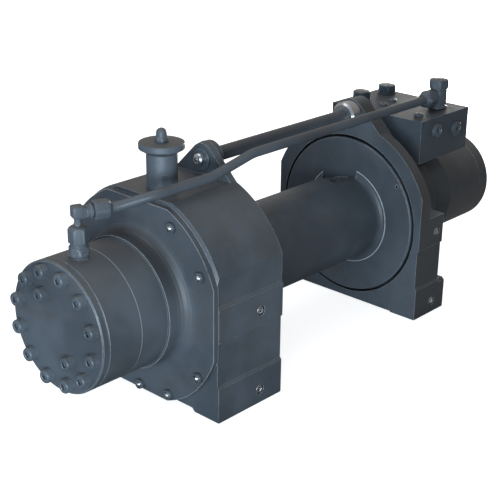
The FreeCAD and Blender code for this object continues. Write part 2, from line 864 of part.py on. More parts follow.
def drum():
    fillet = [
        (s.root_fillet * (1.0 - math.sin(a)), s.root_fillet * (1.0 - math.cos(a)))
        for a in (math.pi / 2 * k / 4 for k in range(5))
    ]
    left = [(left_flange_face + u, s.barrel_radius + v) for u, v in reversed(fillet)]
    right = [(right_flange_face - u, s.barrel_radius + v) for u, v in fillet]
    seat = s.barrel_radius - 6.0
    barrel = [
        (left_web_inner - 3.0, s.barrel_bore),
        (left_web_inner - 3.0, s.trunnion_radius),
        (left_flange_back, s.trunnion_radius),
        (left_flange_back, seat),
        (left_flange_face, seat),
        *left,
        *right,
        (right_flange_face, seat),
        (right_flange_back, seat),
        (right_flange_back, s.trunnion_radius),
        (right_web_inner - 1.0, s.trunnion_radius),
        (right_web_inner - 1.0, s.barrel_bore),
    ]
    body = turned("drum_barrel", barrel)
    hole_x = right_flange_face - s.rope_hole_inset
    recess = tilted_sketch(body, POCKET_ANGLE, s.pocket_floor)
    draw_loop(
        recess,
        [
            (right_flange_face - s.pocket_near_length, -s.pocket_half_width),
            (right_flange_face, -s.pocket_half_width),
            (right_flange_face, s.pocket_half_width),
            (right_flange_face - s.pocket_far_length, s.pocket_half_width),
        ],
    )
    pocket(body, recess, s.barrel_radius, forwards=True)
    rope_hole = tilted_sketch(body, POCKET_ANGLE, s.barrel_bore - 5.0)
    draw_circle(rope_hole, hole_x, 0.0, s.rope_hole_radius)
    pocket(body, rope_hole, s.barrel_radius, forwards=True)
    sideways = new_sketch(body, "XZ_Plane", -s.barrel_bore + 5.0)
    for offset in (-9.0, 9.0):
        draw_circle(sideways, hole_x + offset, 0.0, s.clamp_screw_radius)
    pocket(body, sideways, s.barrel_radius)
    for label, inner in (("drum_flange_left", left_flange_back), ("drum_flange_right", right_flange_face)):
        flange = turned(
            label,
            [
                (inner, seat),
                (inner, s.flange_radius - 1.5),
                (inner + 1.5, s.flange_radius),
                (inner + s.flange_thickness - 1.5, s.flange_radius),
                (inner + s.flange_thickness, s.flange_radius - 1.5),
                (inner + s.flange_thickness, seat),
            ],
        )
    marks = round_places(s.flange_mark_circle, FLANGE_MARK_ANGLE)
    bores(flange, right_flange_face, 5.0, s.flange_mark_radius, marks)
    screws = []
    for offset in (-9.0, 9.0):
        centre = FreeCAD.Vector(number(hole_x) + offset, number(s.barrel_bore) + 2.0, 0)
        length = number(s.barrel_radius - s.barrel_bore) - 3.5
        screws.append(
            Part.makeCylinder(number(s.clamp_screw_radius), length, centre, FreeCAD.Vector(0, 1, 0))
        )
    shaped("rope_clamp_screws", Part.makeCompound(screws))


def ring_piece(label, start, length, inner, outer, **at):
    end = start + length
    return turned(label, [(start, inner), (start, outer), (end, outer), (end, inner)], **at)


def disc_piece(label, start, length, outer, **at):
    end = start + length
    return turned(label, [(start, 0.0), (start, outer), (end, outer), (end, 0.0)], **at)


def drum_supports():
    """Two equal bushes and two equal seals, one of each in the web at either end of the drum."""
    inner = s.trunnion_radius + s.running_fit
    bushes = []
    seals = []
    for bush_start, seal_start in (
        (left_web_inner, left_web_face - s.seal_length),
        (right_web_inner - s.bush_length, right_web_face),
    ):
        bushes.append(rod(bush_radius, bush_start, s.bush_length).cut(rod(inner, bush_start, s.bush_length)))
        seals.append(rod(bush_radius, seal_start, s.seal_length).cut(rod(inner, seal_start, s.seal_length)))
    shaped("drum_bushes", Part.makeCompound(bushes))
    shaped("drum_seals", Part.makeCompound(seals))


def carrier_shape(front, rear, front_thick, rear_thick, radius, circle, post, post_circle, pin):
    """Two plates joined by three posts, drilled for the planet pins."""
    shape = rod(radius, front, front_thick).fuse(rod(radius, rear, rear_thick))
    for u, v in round_places(post_circle, POST_ANGLES):
        shape = shape.fuse(rod(post, front, rear - front + rear_thick, u, v))
    for u, v in round_places(circle, PLANET_ANGLES):
        shape = shape.cut(rod(pin, front, rear - front + rear_thick, u, v))
    return shape


def planet_pins(label, circle, radius, front, rear, rear_thick):
    length = rear - front + rear_thick
    pins = [rod(radius, front, length, u, v) for u, v in round_places(circle, PLANET_ANGLES)]
    shaped(label, Part.makeCompound(pins))


def final_stage():
    front = final_front_plate
    rear = final_rear_plate
    carrier = carrier_shape(
        front, rear, s.final_plate, s.final_plate, s.final_plate_radius, final_pin_circle,
        s.final_post_radius, final_pin_circle + 2.0, s.final_pin_radius,
    )
    spigot_start = rear + s.final_plate
    spigot = rod(s.barrel_bore, spigot_start, left_web_inner + 8.0 - spigot_start)
    carrier = carrier.fuse(spigot).cut(rod(s.sun_shaft_radius + 10.0, front - 1.0, s.final_plate + 2.0))
    carrier = carrier.cut(rod(s.input_radius + 4.0, front, 90.0)).removeSplitter()
    shaped("final_carrier", carrier)
    planet_pins("final_planet_pins", final_pin_circle, s.final_pin_radius, front, rear, s.final_plate)
    for k, (u, v) in enumerate(round_places(final_pin_circle, PLANET_ANGLES)):
        gear(
            f"final_planet_{k + 1}", s.final_module, s.planet_teeth,
            planet_phase(math.radians(PLANET_ANGLES[k])), final_start, s.final_face,
            s.final_pin_radius + s.running_fit, u, v,
        )
    shaft = rod(s.sun_shaft_radius, first_rear_plate, final_start + s.final_face - first_rear_plate)
    gear(
        "final_sun", s.final_module, s.sun_teeth, 0.0, final_start, s.final_face,
        s.input_radius + s.face_gap, extra=shaft,
    )
    bush_start = cover_face - 3.0
    ring_piece(
        "sun_bush", bush_start, s.gear_face - bush_start, s.sun_shaft_radius + s.running_fit, 28.0
    )


def first_stage():
    front = first_front_plate
    rear = first_rear_plate
    carrier = carrier_shape(
        front, rear, s.first_plate, first_rear_thickness, s.first_plate_radius, first_pin_circle,
        s.first_post_radius, first_pin_circle + 3.5, s.first_pin_radius,
    )
    carrier = carrier.cut(rod(s.sun_shaft_radius, rear, first_rear_thickness))
    carrier = carrier.cut(rod(s.input_radius + 4.0, front, 20.0)).removeSplitter()
    shaped("first_carrier", carrier)
    planet_pins(
        "first_planet_pins", first_pin_circle, s.first_pin_radius, front, rear, first_rear_thickness
    )
    for k, (u, v) in enumerate(round_places(first_pin_circle, PLANET_ANGLES)):
        gear(
            f"first_planet_{k + 1}", s.first_module, s.planet_teeth,
            planet_phase(math.radians(PLANET_ANGLES[k])), first_start, s.first_face,
            s.first_pin_radius + s.running_fit, u, v,
        )
    shaft = s.first_module * s.sun_teeth / 2.0 - DEDENDUM * s.first_module - 2.0
    gear("first_sun", s.first_module, s.sun_teeth, 0.0, first_start, s.first_face, shaft)
    turned(
        "input_shaft",
        [
            (input_start, 0.0),
            (input_start, s.input_radius - 2.2),
            (first_start + s.first_face, s.input_radius - 2.2),
            (first_start + s.first_face, s.input_radius),
            (input_end, s.input_radius),
            (input_end, 0.0),
        ],
    )


def cases():
    wall_bore = s.input_radius + 2.0
    brake = turned(
        "brake_case",
        [
            (brake_face, piston_bore),
            (brake_face, s.case_radius - 1.2),
            (brake_face + 1.2, s.case_radius),
            (stage_face, s.case_radius),
            (stage_face, wall_bore),
            (disc_end, wall_bore),
            (disc_end, disc_bore),
            (chamber_right, disc_bore),
            (chamber_right, piston_bore),
        ],
    )
    bores(brake, brake_face, s.brake_length, s.case_screw_radius + 0.3, case_screw_places)
    port = new_sketch(brake, "XY_Plane", disc_bore)
    draw_circle(port, s.brake_port, -s.brake_port_side, 4.0)
    pocket(brake, port, s.case_radius, forwards=True)
    seat = new_sketch(brake, "XY_Plane", s.case_radius - 3.0)
    draw_circle(seat, s.brake_port, -s.brake_port_side, 12.5)
    pocket(brake, seat, s.case_radius, forwards=True)
    cap = turned(
        "brake_cap",
        [
            (cap_face, 0.0),
            (cap_face, s.case_radius - 1.5),
            (cap_face + 1.5, s.case_radius),
            (brake_face - 1.0, s.case_radius),
            (brake_face, s.case_radius - 1.0),
            (brake_face, 0.0),
        ],
    )
    bores(cap, cap_face, s.cap_thickness, s.case_screw_radius + 0.3, case_screw_places)
    bores(cap, cap_face, s.cap_thickness - 2.0, s.case_screw_radius, inner_screw_places)


UP = FreeCAD.Vector(0, 0, 1)


def hexagon_wire(across, centre, axis):
    """A hexagon square to the axis, flats apart by the size across."""
    radius = across / math.sqrt(3.0)
    side = FreeCAD.Vector(1, 0, 0) if abs(axis.z) > 0.9 else axis.cross(UP).normalize()
    other = axis.cross(side)
    corners = [
        centre + side * (radius * math.cos(math.pi / 3 * k)) + other * (radius * math.sin(math.pi / 3 * k))
        for k in range(6)
    ]
    return Part.makePolygon(corners + corners[:1])


def hexagon(across, height, centre, axis):
    return Part.Face(hexagon_wire(across, centre, axis)).extrude(axis * height)


def screw_shape(x, u, v, radius, head, height, shank):
    """A cap screw along +X whose head rests on the plane at x."""
    body = rod(radius, x, shank, u, v)
    top = rod(head, x - height, height, u, v)
    rim = number(head) * 0.12
    edge = [e for e in top.Edges if abs(e.BoundBox.XMin - number(x - height)) < 1e-6 and e.Closed]
    top = top.makeChamfer(rim, [e for e in edge if abs(e.BoundBox.XLength) < 1e-6])
    return top.fuse(body).removeSplitter()


def fasteners():
    shank = boss_face - cap_face + 16.0
    case = [
        screw_shape(
            cap_face, u, v, s.case_screw_radius, s.case_screw_head, s.case_screw_head_height, shank
        )
        for u, v in case_screw_places
    ]
    shaped("cap_screws", Part.makeCompound(case))
    inner = [
        screw_shape(
            cap_face, u, v, s.case_screw_radius, s.case_screw_head, s.case_screw_head_height,
            s.cap_thickness - 2.0,
        )
        for u, v in inner_screw_places
    ]
    shaped("cap_lifting_screws", Part.makeCompound(inner))
    cover = [
        screw_shape(
            cover_face, u, v, s.cover_screw_radius, s.cover_screw_head, s.cover_screw_radius * 2.0,
            s.cover_plate + 20.0,
        )
        for u, v in cover_screw_places
    ]
    shaped("cover_screws", Part.makeCompound(cover))
    plugs = []
    for x in (-s.base_hole_x, s.base_hole_x):
        for height in (base_z + s.side_hole_foot_height, -s.side_hole_pad_drop):
            for side in SIDES:
                start = side * (s.half_depth - s.side_hole_depth)
                centre = FreeCAD.Vector(number(x), number(start), number(height))
                along = FreeCAD.Vector(0, side, 0)
                length = number(s.side_hole_depth) - 1.0
                plugs.append(Part.makeCylinder(number(s.side_hole_radius), length, centre, along))
    shaped("side_hole_plugs", Part.makeCompound(plugs))


def brake_parts():
    hub_end = disc_end - s.face_gap
    ring_piece("brake_hub", input_start, hub_end - input_start, s.input_radius - 2.2, s.brake_hub_radius)
    steel = []
    friction = []
    for k in range(DISC_COUNT):
        start = disc_start + s.face_gap + k * disc_pitch
        if k % 2:
            disc = rod(disc_bore - 3.0, start, s.disc_thickness)
            friction.append(disc.cut(rod(s.brake_hub_radius, start, s.disc_thickness)))
        else:
            disc = rod(disc_bore, start, s.disc_thickness)
            steel.append(disc.cut(rod(s.brake_hub_radius + 3.0, start, s.disc_thickness)))
    shaped("brake_friction_discs", Part.makeCompound(friction))
    shaped("brake_steel_discs", Part.makeCompound(steel))
    turned(
        "brake_piston",
        [
            (piston_left, 18.0),
            (piston_left, piston_bore - s.running_fit),
            (chamber_left, piston_bore - s.running_fit),
            (chamber_left, disc_bore - s.running_fit),
            (piston_tip, disc_bore - s.running_fit),
            (piston_tip, 18.0),
        ],
    )
    room = piston_left - brake_face
    middle = brake_face + room / 2.0
    springs = []
    for low, high in ((brake_face, middle), (piston_left, middle)):
        flat = s.spring_thickness * (1.0 if number(high) > number(low) else -1.0)
        points = [
            (low + flat, 24.0), (low, 24.0), (high - flat, 50.0), (high, 50.0),
        ]
        corners = [FreeCAD.Vector(number(x), 0, number(r)) for x, r in points]
        face = Part.Face(Part.makePolygon(corners + corners[:1]))
        springs.append(face.revolve(FreeCAD.Vector(0, 0, 0), FreeCAD.Vector(1, 0, 0), 360))
    shaped("brake_disc_springs", Part.makeCompound(springs))


def clutch():
    seat = housing_top
    top = seat + s.clutch_guide_height
    slip = s.clutch_radius + s.running_fit
    roof = top - 4.0
    at = {"x": s.clutch_place}
    turned_upright(
        "clutch_guide",
        [
            (slip, roof),
            (slip, top),
            (s.clutch_guide_radius - 1.0, top),
            (s.clutch_guide_radius, top - 1.0),
            (s.clutch_guide_radius, seat),
            (s.clutch_guide_bore, seat),
            (s.clutch_guide_bore, roof),
        ],
        **at,
    )
    collar = seat + s.face_gap
    collar_top = collar + 3.0
    turned_upright(
        "clutch_plunger",
        [
            (0.0, clutch_tip),
            (s.clutch_radius - 1.5, clutch_tip),
            (s.clutch_radius, clutch_tip + 1.5),
            (s.clutch_radius, collar),
            (s.clutch_guide_bore - 0.5, collar),
            (s.clutch_guide_bore - 0.5, collar_top),
            (s.clutch_radius, collar_top),
            (s.clutch_radius, knob_bottom),
            (s.clutch_radius - 3.0, knob_bottom),
            (s.clutch_radius - 3.0, knob_bottom + s.knob_thickness + 6.0),
            (0.0, knob_bottom + s.knob_thickness + 6.0),
        ],
        **at,
    )
    turned_upright(
        "clutch_knob",
        [
            (s.clutch_radius - 3.0, knob_bottom),
            (s.knob_radius - 7.0, knob_bottom),
            (s.knob_radius, knob_bottom + 4.0),
            (s.knob_radius, knob_bottom + s.knob_thickness - 1.0),
            (s.knob_radius - 1.0, knob_bottom + s.knob_thickness),
            (s.clutch_radius - 3.0, knob_bottom + s.knob_thickness),
        ],
        **at,
    )
    cap_base = knob_bottom + s.knob_thickness
    turned_upright(
        "clutch_cap_nut",
        [
            (s.clutch_radius - 3.0, cap_base),
            (s.clutch_radius + 0.5, cap_base),
            (s.clutch_radius + 0.5, cap_base + 7.0),
            (s.clutch_radius - 1.0, cap_base + 9.0),
            (s.clutch_radius - 1.2, cap_base + 15.0),
            (s.clutch_radius - 3.4, cap_base + 18.5),
            (0.0, cap_base + 20.0),
            (0.0, cap_base + 6.0),
            (s.clutch_radius - 3.0, cap_base + 6.0),
        ],
        **at,
    )
    turns = 4
    steps = 16
    wire = number(s.spring_wire)
    radius = number(s.clutch_radius) + 2.6 + wire / 2.0
    height = number(roof) - number(collar_top) - 2.0 * wire
    points = []
    for k in range(turns * steps + 1):
        angle = 2.0 * math.pi * k / steps
        rise = height * k / (turns * steps)
        points.append(FreeCAD.Vector(radius * math.cos(angle), radius * math.sin(angle), rise))
    along = points[1] - points[0]
    section = hexagon_wire(1.9 * wire, points[0], along.normalize())
    spring = Part.makePolygon(points).makePipeShell([section], True, False, 1)
    shaped("clutch_spring", spring, x=s.clutch_place, z=s.axis_height + collar_top + s.spring_wire)


def motor():
    gear_place = s.motor_case_end - s.pump_gear_face - s.face_gap
    case = turned(
        "motor_case",
        [
            (motor_start, 0.0),
            (motor_start, s.motor_neck_radius),
            (neck_end, s.motor_neck_radius),
            (flare_end, s.motor_radius),
            (s.motor_case_end, s.motor_radius),
            (s.motor_case_end, 0.0),
        ],
    )
    pump_outer = pump_pitch + (ADDENDUM * s.pump_gear_module) + 0.1
    bore(case, motor_start, s.motor_case_end - motor_start, s.input_radius + s.running_fit)
    bore(case, motor_start, 12.0, s.coupling_radius + 3.0)
    bore(case, gear_place - s.face_gap, s.motor_case_end - gear_place + s.face_gap, pump_outer)
    bore(
        case, gear_place - s.face_gap, s.motor_case_end - gear_place + s.face_gap, pump_outer,
        0.0, -2.0 * pump_pitch,
    )
    bore(case, gear_place - 20.0, 30.0, s.input_radius + s.running_fit, 0.0, -2.0 * pump_pitch)
    bores(
        case, motor_start, s.motor_case_end - motor_start, s.motor_bolt_radius + 0.3, motor_bolt_places
    )
    port_pad = new_sketch(case, "XY_Plane", s.motor_neck_radius - 8.0)
    draw_box(port_pad, motor_start + 8.0, flare_end, -36.0, 36.0)
    feature = pad(case, port_pad, s.block_bottom - s.motor_neck_radius + 8.0)
    feature.Refine = True
    cover = turned(
        "motor_end_cover",
        [
            (s.motor_case_end, 0.0),
            (s.motor_case_end, s.motor_radius),
            (motor_end - 3.0, s.motor_radius),
            (motor_end, s.motor_radius - 3.0),
            (motor_end, 0.0),
        ],
    )
    for height in (0.0, -2.0 * pump_pitch):
        bore(cover, s.motor_case_end, 16.0, s.input_radius + s.running_fit, 0.0, height)
    bores(cover, s.motor_case_end, s.motor_cover, s.motor_bolt_radius + 0.3, motor_bolt_places)
    teeth = number(s.pump_gear_teeth)
    journal = rod(s.input_radius, input_end + 0.5, motor_end - 10.0 - input_end)
    gear(
        "motor_shaft", s.pump_gear_module, s.pump_gear_teeth, 0.0, gear_place, s.pump_gear_face,
        None, extra=journal,
    )
    # angle -90 degrees points from the shaft to the idler, whose own gap faces back up
    down = -math.pi / 2.0
    meeting = 0.5 - teeth * down / (2.0 * math.pi)
    idler_phase = down + math.pi - 2.0 * math.pi / teeth * meeting
    idler_z = -2.0 * pump_pitch
    stub = rod(s.input_radius, gear_place - 19.0, s.pump_gear_face + 33.0, 0.0, idler_z)
    gear(
        "motor_idler_gear", s.pump_gear_module, s.pump_gear_teeth, idler_phase, gear_place,
        s.pump_gear_face, None, 0.0, idler_z, extra=stub,
    )
    ring_piece("shaft_coupling", coupling_start, 22.0, s.input_radius, s.coupling_radius)
    ring_piece(
        "shaft_bearing", right_web_inner + 4.0, 12.0, s.coupling_radius + s.running_fit,
        s.coupling_radius + 12.0,
    )
    bolts = []
    for u, v in motor_bolt_places:
        length = motor_end - boss_end + 16.0
        bolt = rod(s.motor_bolt_radius, boss_end - 16.0, length, u, v)
        bolts.append(bolt.fuse(rod(8.0, motor_end, 10.0, u, v)).removeSplitter())
    shaped("motor_bolts", Part.makeCompound(bolts))


def block_places(shares):
    """Places on the valve block's top, from shares of its length and half depth."""
    return [
        (number(s.block_start + s.block_length * along), number(s.block_half_depth * across))
        for along, across in shares
    ]


def valve_block():
    body = new_body("valve_block")
    outline = new_sketch(body, "XY_Plane", s.block_bottom)
    draw_box(outline, s.block_start, block_end, -s.block_half_depth, s.block_half_depth)
    pad(body, outline, s.block_height)
    ports = [
        (s.block_start + s.block_length * along, s.block_bottom + s.block_height * share)
        for along, share in BLOCK_PORTS
    ]
    stem_radius = s.port_plug_radius - 2.0
    face = new_sketch(body, "XZ_Plane", s.block_half_depth - 12.0)
    for x, z in ports:
        draw_circle(face, x, z, stem_radius)
    pocket(body, face, 13.0, forwards=True)
    out = FreeCAD.Vector(0, -1, 0)
    plugs = []
    for x, z in ports:
        base = FreeCAD.Vector(number(x), -number(s.block_half_depth), number(z))
        plug = Part.makeCylinder(number(s.port_plug_radius), number(s.port_plug_height), base, out)
        stem = Part.makeCylinder(number(stem_radius), 11.0, base, -out)
        plugs.append(plug.fuse(stem).removeSplitter())
    shaped("port_plugs", Part.makeCompound(plugs))
    top = number(block_top)
    hexes = []
    for x, y in block_places(BLOCK_HEX_PLUGS):
        base = FreeCAD.Vector(x, y, top)
        washer = Part.makeCylinder(number(s.hex_plug_radius) + 1.0, 2.0, base, UP)
        head = hexagon(2 * number(s.hex_plug_radius), number(s.hex_plug_height), base, UP)
        hexes.append(washer.fuse(head))
    shaped("block_hex_plugs", Part.makeCompound(hexes))
    screws = [
        Part.makeCylinder(number(s.block_screw_radius), 3.5, FreeCAD.Vector(x, y, top), UP)
        for x, y in block_places(BLOCK_SCREWS)
    ]
    shaped("block_screws", Part.makeCompound(screws))


def tie_bar():
    start = gear_back + s.lug_boss
    end = s.bracket_face
    hole = s.tie_bolt_radius
    body = disc_piece("tie_bar", start, end - start, s.tie_bar_radius, z=s.axis_height + s.tie_height)
    bore(body, start, 20.0, hole)
    bore(body, end - 20.0, 20.0, hole)
    collar_start = s.bracket_face - s.collar_length
    turned(
        "tie_bar_collar",
        [
            (collar_start, s.tie_bar_radius),
            (collar_start, s.collar_radius - 3.0),
            (collar_start + 3.0, s.collar_radius),
            (s.bracket_face, s.collar_radius),
            (s.bracket_face, s.tie_bar_radius),
        ],
        z=s.axis_height + s.tie_height,
    )
    left_face = gear_back - s.lug_width
    right_face = s.bracket_face + s.bracket_plate
    washer = s.tie_washer_thickness
    head = s.tie_head_height
    left = rod(hole, left_face, s.lug_width + s.lug_boss + 16.0)
    left = left.fuse(rod(s.tie_washer_radius, left_face - washer, washer))
    left = left.fuse(rod(s.tie_head_radius, left_face - washer - head, head))
    right = rod(hole, end - 16.0, s.bracket_plate + 16.0)
    right = right.fuse(rod(s.tie_washer_radius, right_face, washer))
    right = right.fuse(rod(s.tie_head_radius, right_face + washer, head))
    bolts = Part.makeCompound([left.removeSplitter(), right.removeSplitter()])
    shaped("tie_bar_bolts", bolts, z=s.axis_height + s.tie_height)


def tube_route():
    """Centre line of the brake release tube, from the brake elbow to the valve block elbow."""
    y = number(tube_depth)
    low = number(s.case_radius + s.tube_over_case)
    middle = number(arc_radius + s.tube_over_arc)
    high = number(block_top + s.tube_over_block)
    leg = number(s.tube_leg)
    return [
        FreeCAD.Vector(number(s.brake_port) + leg, -number(s.brake_port_side) - 0.36 * leg, low),
        FreeCAD.Vector(number(boss_face) - 20.0, 0.44 * y, low),
        FreeCAD.Vector(number(cover_face) - 12.5, y, middle),
        FreeCAD.Vector(number(gear_back) - 43.5, y, middle),
        FreeCAD.Vector(number(gear_back) + 30.5, y, high),
        FreeCAD.Vector(number(s.block_port) - leg, y, high),
    ]


def bent_path(points, radii):
    """Straight runs joined by arcs that meet them at a tangent."""
    edges = []
    last = points[0]
    for before, corner, after, radius in zip(points, points[1:], points[2:], radii):
        into = (corner - before).normalize()
        out = (after - corner).normalize()
        turn = into.getAngle(out)
        setback = radius * math.tan(turn / 2.0)
        begin = corner - into * setback
        finish = corner + out * setback
        bisector = (out - into).normalize()
        centre = corner + bisector * (radius / math.cos(turn / 2.0))
        middle = centre - bisector * radius
        edges.append(Part.LineSegment(last, begin).toShape())
        edges.append(Part.Arc(begin, middle, finish).toShape())
        last = finish
    edges.append(Part.LineSegment(last, points[-1]).toShape())
    return Part.Wire(edges)


def brake_line():
    points = tube_route()
    path = bent_path(points, (40.0, 40.0, 70.0, 70.0))
    radius = number(s.tube_radius)
    start = Part.Wire(Part.makeCircle(radius, points[0], points[1] - points[0]))
    tube = path.makePipeShell([start], True, False)
    print("tube volume over section times length", tube.Volume / (math.pi * radius**2 * path.Length))
    shaped("brake_tube", tube)
    leg = (points[1] - points[0]).normalize()
    port_x = number(s.brake_port)
    port_y = -number(s.brake_port_side)
    elbow_radius = number(s.elbow_radius)
    seat = number(s.case_radius) - 3.0
    base = FreeCAD.Vector(port_x, port_y, seat)
    adapter = Part.makeCylinder(number(s.adapter_radius), 15.0, base, UP)
    adapter = adapter.fuse(hexagon(number(s.adapter_across), 22.0, base + UP * 15.0, UP))
    adapter = adapter.fuse(Part.makeCylinder(6.0, 8.0, base + UP * 37.0, UP)).removeSplitter()
    shaped("brake_port_adapter", adapter)
    corner = FreeCAD.Vector(port_x, port_y, points[0].z)
    above = points[0].z - seat - 45.0 + elbow_radius + 1.0
    elbow = Part.makeCylinder(elbow_radius, above, base + UP * 45.0, UP)
    reach = points[0] - corner
    elbow = elbow.fuse(Part.makeCylinder(elbow_radius, reach.Length, corner, reach)).removeSplitter()
    shaped("brake_elbow", elbow)
    y = number(tube_depth)
    top = number(block_top)
    foot = FreeCAD.Vector(number(s.block_port), y, top)
    high = points[-1].z
    right = Part.makeCylinder(13.0, 4.0, foot, UP)
    right = right.fuse(Part.makeCylinder(9.5, high - top + 14.0, foot, UP))
    right = right.fuse(hexagon(25.0, 14.0, foot + UP * (high - top + 14.0), UP))
    toward = FreeCAD.Vector(-1, 0, 0)
    centre = FreeCAD.Vector(number(s.block_port), y, high)
    right = right.fuse(Part.makeCylinder(elbow_radius, number(s.tube_leg), centre, toward))
    shaped("block_elbow", right.removeSplitter())
    nuts = []
    length = number(s.nut_length)
    for end, along in ((points[0], leg), (points[-1], toward)):
        start = end + along * 0.5
        nut = hexagon(number(s.nut_across), length, start, along)
        nuts.append(nut.cut(Part.makeCylinder(radius + number(s.running_fit), length, start, along)))
    shaped("tube_nuts", Part.makeCompound(nuts))


def labelled():
    kinds = ("PartDesign::Body", "Part::Feature")
    return [item for item in document.Objects if item.TypeId in kinds]


def check_model():
    for item in document.Objects:
        if "Invalid" in item.State or "Error" in item.State:
            raise RuntimeError(f"{item.Name} ({item.TypeId}) is {item.State}")
    for piece in labelled():
        if piece.Shape.isNull() or not piece.Shape.isValid():
            raise RuntimeError(f"{piece.Label} has no valid shape")


gear_housing()
motor_bracket()
end_cover()
drum()
drum_supports()
final_ring_gear()
final_stage()
stage_case()
first_stage()
cases()
brake_parts()
fasteners()
clutch()
motor()
valve_block()
tie_bar()
brake_line()

document.recompute()
check_model()
os.makedirs("parts", exist_ok=True)
for piece in labelled():
    piece.Shape.exportStep(f"parts/{piece.Label}.step")
print(len(labelled()), "pieces written")
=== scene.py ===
import json
import math

import bmesh
import bpy
from mathutils import Matrix, Vector


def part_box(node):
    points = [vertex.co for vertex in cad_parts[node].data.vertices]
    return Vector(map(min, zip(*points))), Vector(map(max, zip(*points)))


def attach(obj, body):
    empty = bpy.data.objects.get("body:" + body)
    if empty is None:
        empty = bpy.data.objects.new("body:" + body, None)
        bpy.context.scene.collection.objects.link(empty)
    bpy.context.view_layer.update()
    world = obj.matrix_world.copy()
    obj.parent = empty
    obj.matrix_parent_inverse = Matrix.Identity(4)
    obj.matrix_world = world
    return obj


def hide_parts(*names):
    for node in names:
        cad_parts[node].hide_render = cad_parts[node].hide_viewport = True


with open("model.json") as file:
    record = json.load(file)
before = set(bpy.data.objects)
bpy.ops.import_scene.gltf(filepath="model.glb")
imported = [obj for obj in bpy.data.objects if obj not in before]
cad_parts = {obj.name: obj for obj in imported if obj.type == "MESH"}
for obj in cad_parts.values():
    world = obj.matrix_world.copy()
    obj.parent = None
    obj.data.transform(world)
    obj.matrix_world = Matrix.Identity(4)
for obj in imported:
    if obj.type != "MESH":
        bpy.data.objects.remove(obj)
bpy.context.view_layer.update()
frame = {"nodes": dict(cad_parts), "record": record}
print("stage: frame loaded with", len(frame["nodes"]), "nodes")

axisHeight = 0.136  # the drum's axis above the base
up = Vector((0, 0, 1))
alongX = Vector((1, 0, 0))  # from the brake end to the motor end
nearSide = Vector((0, -1, 0))


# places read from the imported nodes

def low(node):
    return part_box(node)[0]


def high(node):
    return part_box(node)[1]


def middle(node):
    return (low(node) + high(node)) / 2


# shader graphs

class Wire:
    def __init__(self, tree, socket=None):
        self.tree = tree
        self.socket = socket

    def node(self, kind, inputs=None, output=0, **settings):
        made = self.tree.nodes.new(kind)
        for name, value in settings.items():
            setattr(made, name, value)
        for name, value in (inputs or {}).items():
            if isinstance(value, Wire):
                self.tree.links.new(value.socket, made.inputs[name])
            else:
                made.inputs[name].default_value = value
        return Wire(self.tree, made.outputs[output])

    def calc(self, operation, first, second):
        return self.node("ShaderNodeMath", {0: first, 1: second}, operation=operation)

    def __add__(self, other):
        return self.calc("ADD", self, other)

    def __radd__(self, other):
        return self.calc("ADD", other, self)

    def __sub__(self, other):
        return self.calc("SUBTRACT", self, other)

    def __rsub__(self, other):
        return self.calc("SUBTRACT", other, self)

    def __mul__(self, other):
        return self.calc("MULTIPLY", self, other)

    def __rmul__(self, other):
        return self.calc("MULTIPLY", other, self)

    def __pow__(self, other):
        return self.calc("POWER", self, other)

    def clip(self, start, end):
        return self.node(
            "ShaderNodeMapRange",
            {"Value": self, "From Min": start, "From Max": end},
            interpolation_type="SMOOTHSTEP",
        )

    def mix(self, first, second):
        colours = [value if isinstance(value, Wire) else (*value, 1.0) for value in (first, second)]
        inputs = {0: self, 6: colours[0], 7: colours[1]}  # 6, 7 and output 2 are the node's colour sockets
        return self.node("ShaderNodeMix", inputs, output=2, data_type="RGBA")

    def split(self):
        parts = self.node("ShaderNodeSeparateXYZ", {0: self}).socket.node
        return [Wire(self.tree, output) for output in parts.outputs]


def startMaterial(name):
    material = bpy.data.materials.new(name)
    material.use_nodes = True
    tree = material.node_tree
    return material, tree.nodes["Principled BSDF"], Wire(tree)


def setShader(shader, sockets):
    for name, value in sockets.items():
        if isinstance(value, Wire):
            value.tree.links.new(value.socket, shader.inputs[name])
        else:
            shader.inputs[name].default_value = value


def noise(graph, coords, scale, detail=3.0, rough=0.55):
    inputs = {"Vector": coords, "Scale": scale, "Detail": detail, "Roughness": rough}
    return graph.node("ShaderNodeTexNoise", inputs)


def objectCoords(graph):
    return graph.node("ShaderNodeTexCoord", output="Object")


def shadingNormal(graph):
    return graph.node("ShaderNodeNewGeometry", output="Normal")


def axisPlaces(graph, coords):
    # the place along the drum's axis, the distance from it and the height above it
    centre = (0.0, 0.0, axisHeight)
    moved = graph.node("ShaderNodeVectorMath", {0: coords, 1: centre}, operation="SUBTRACT")
    along, across, above = moved.split()
    return along, (across * across + above * above) ** 0.5, above


def edgeMask(graph, radius):
    rounded = graph.node("ShaderNodeBevel", {"Radius": radius}, samples=6)
    inputs = {0: rounded, 1: shadingNormal(graph)}
    facing = graph.node("ShaderNodeVectorMath", inputs, output="Value", operation="DOT_PRODUCT")
    return (1.0 - facing).clip(0.02, 0.22)


# painted shade: darkening where ambient occlusion finds corners and recesses
def cornerShadeMask(graph, reach):
    openSky = graph.node("ShaderNodeAmbientOcclusion", {"Distance": reach}, output="AO", samples=6)
    return (1.0 - openSky).clip(0.3, 0.95)


# painted shade in the upper part of the cover's concave root
def rootShadeMask(root, radius, above):
    outside = radius.clip(root["inner"] - 0.001, root["inner"])
    inside = 1.0 - radius.clip(root["dark"], root["outer"])
    return outside * inside * above.clip(root["low"], root["high"])


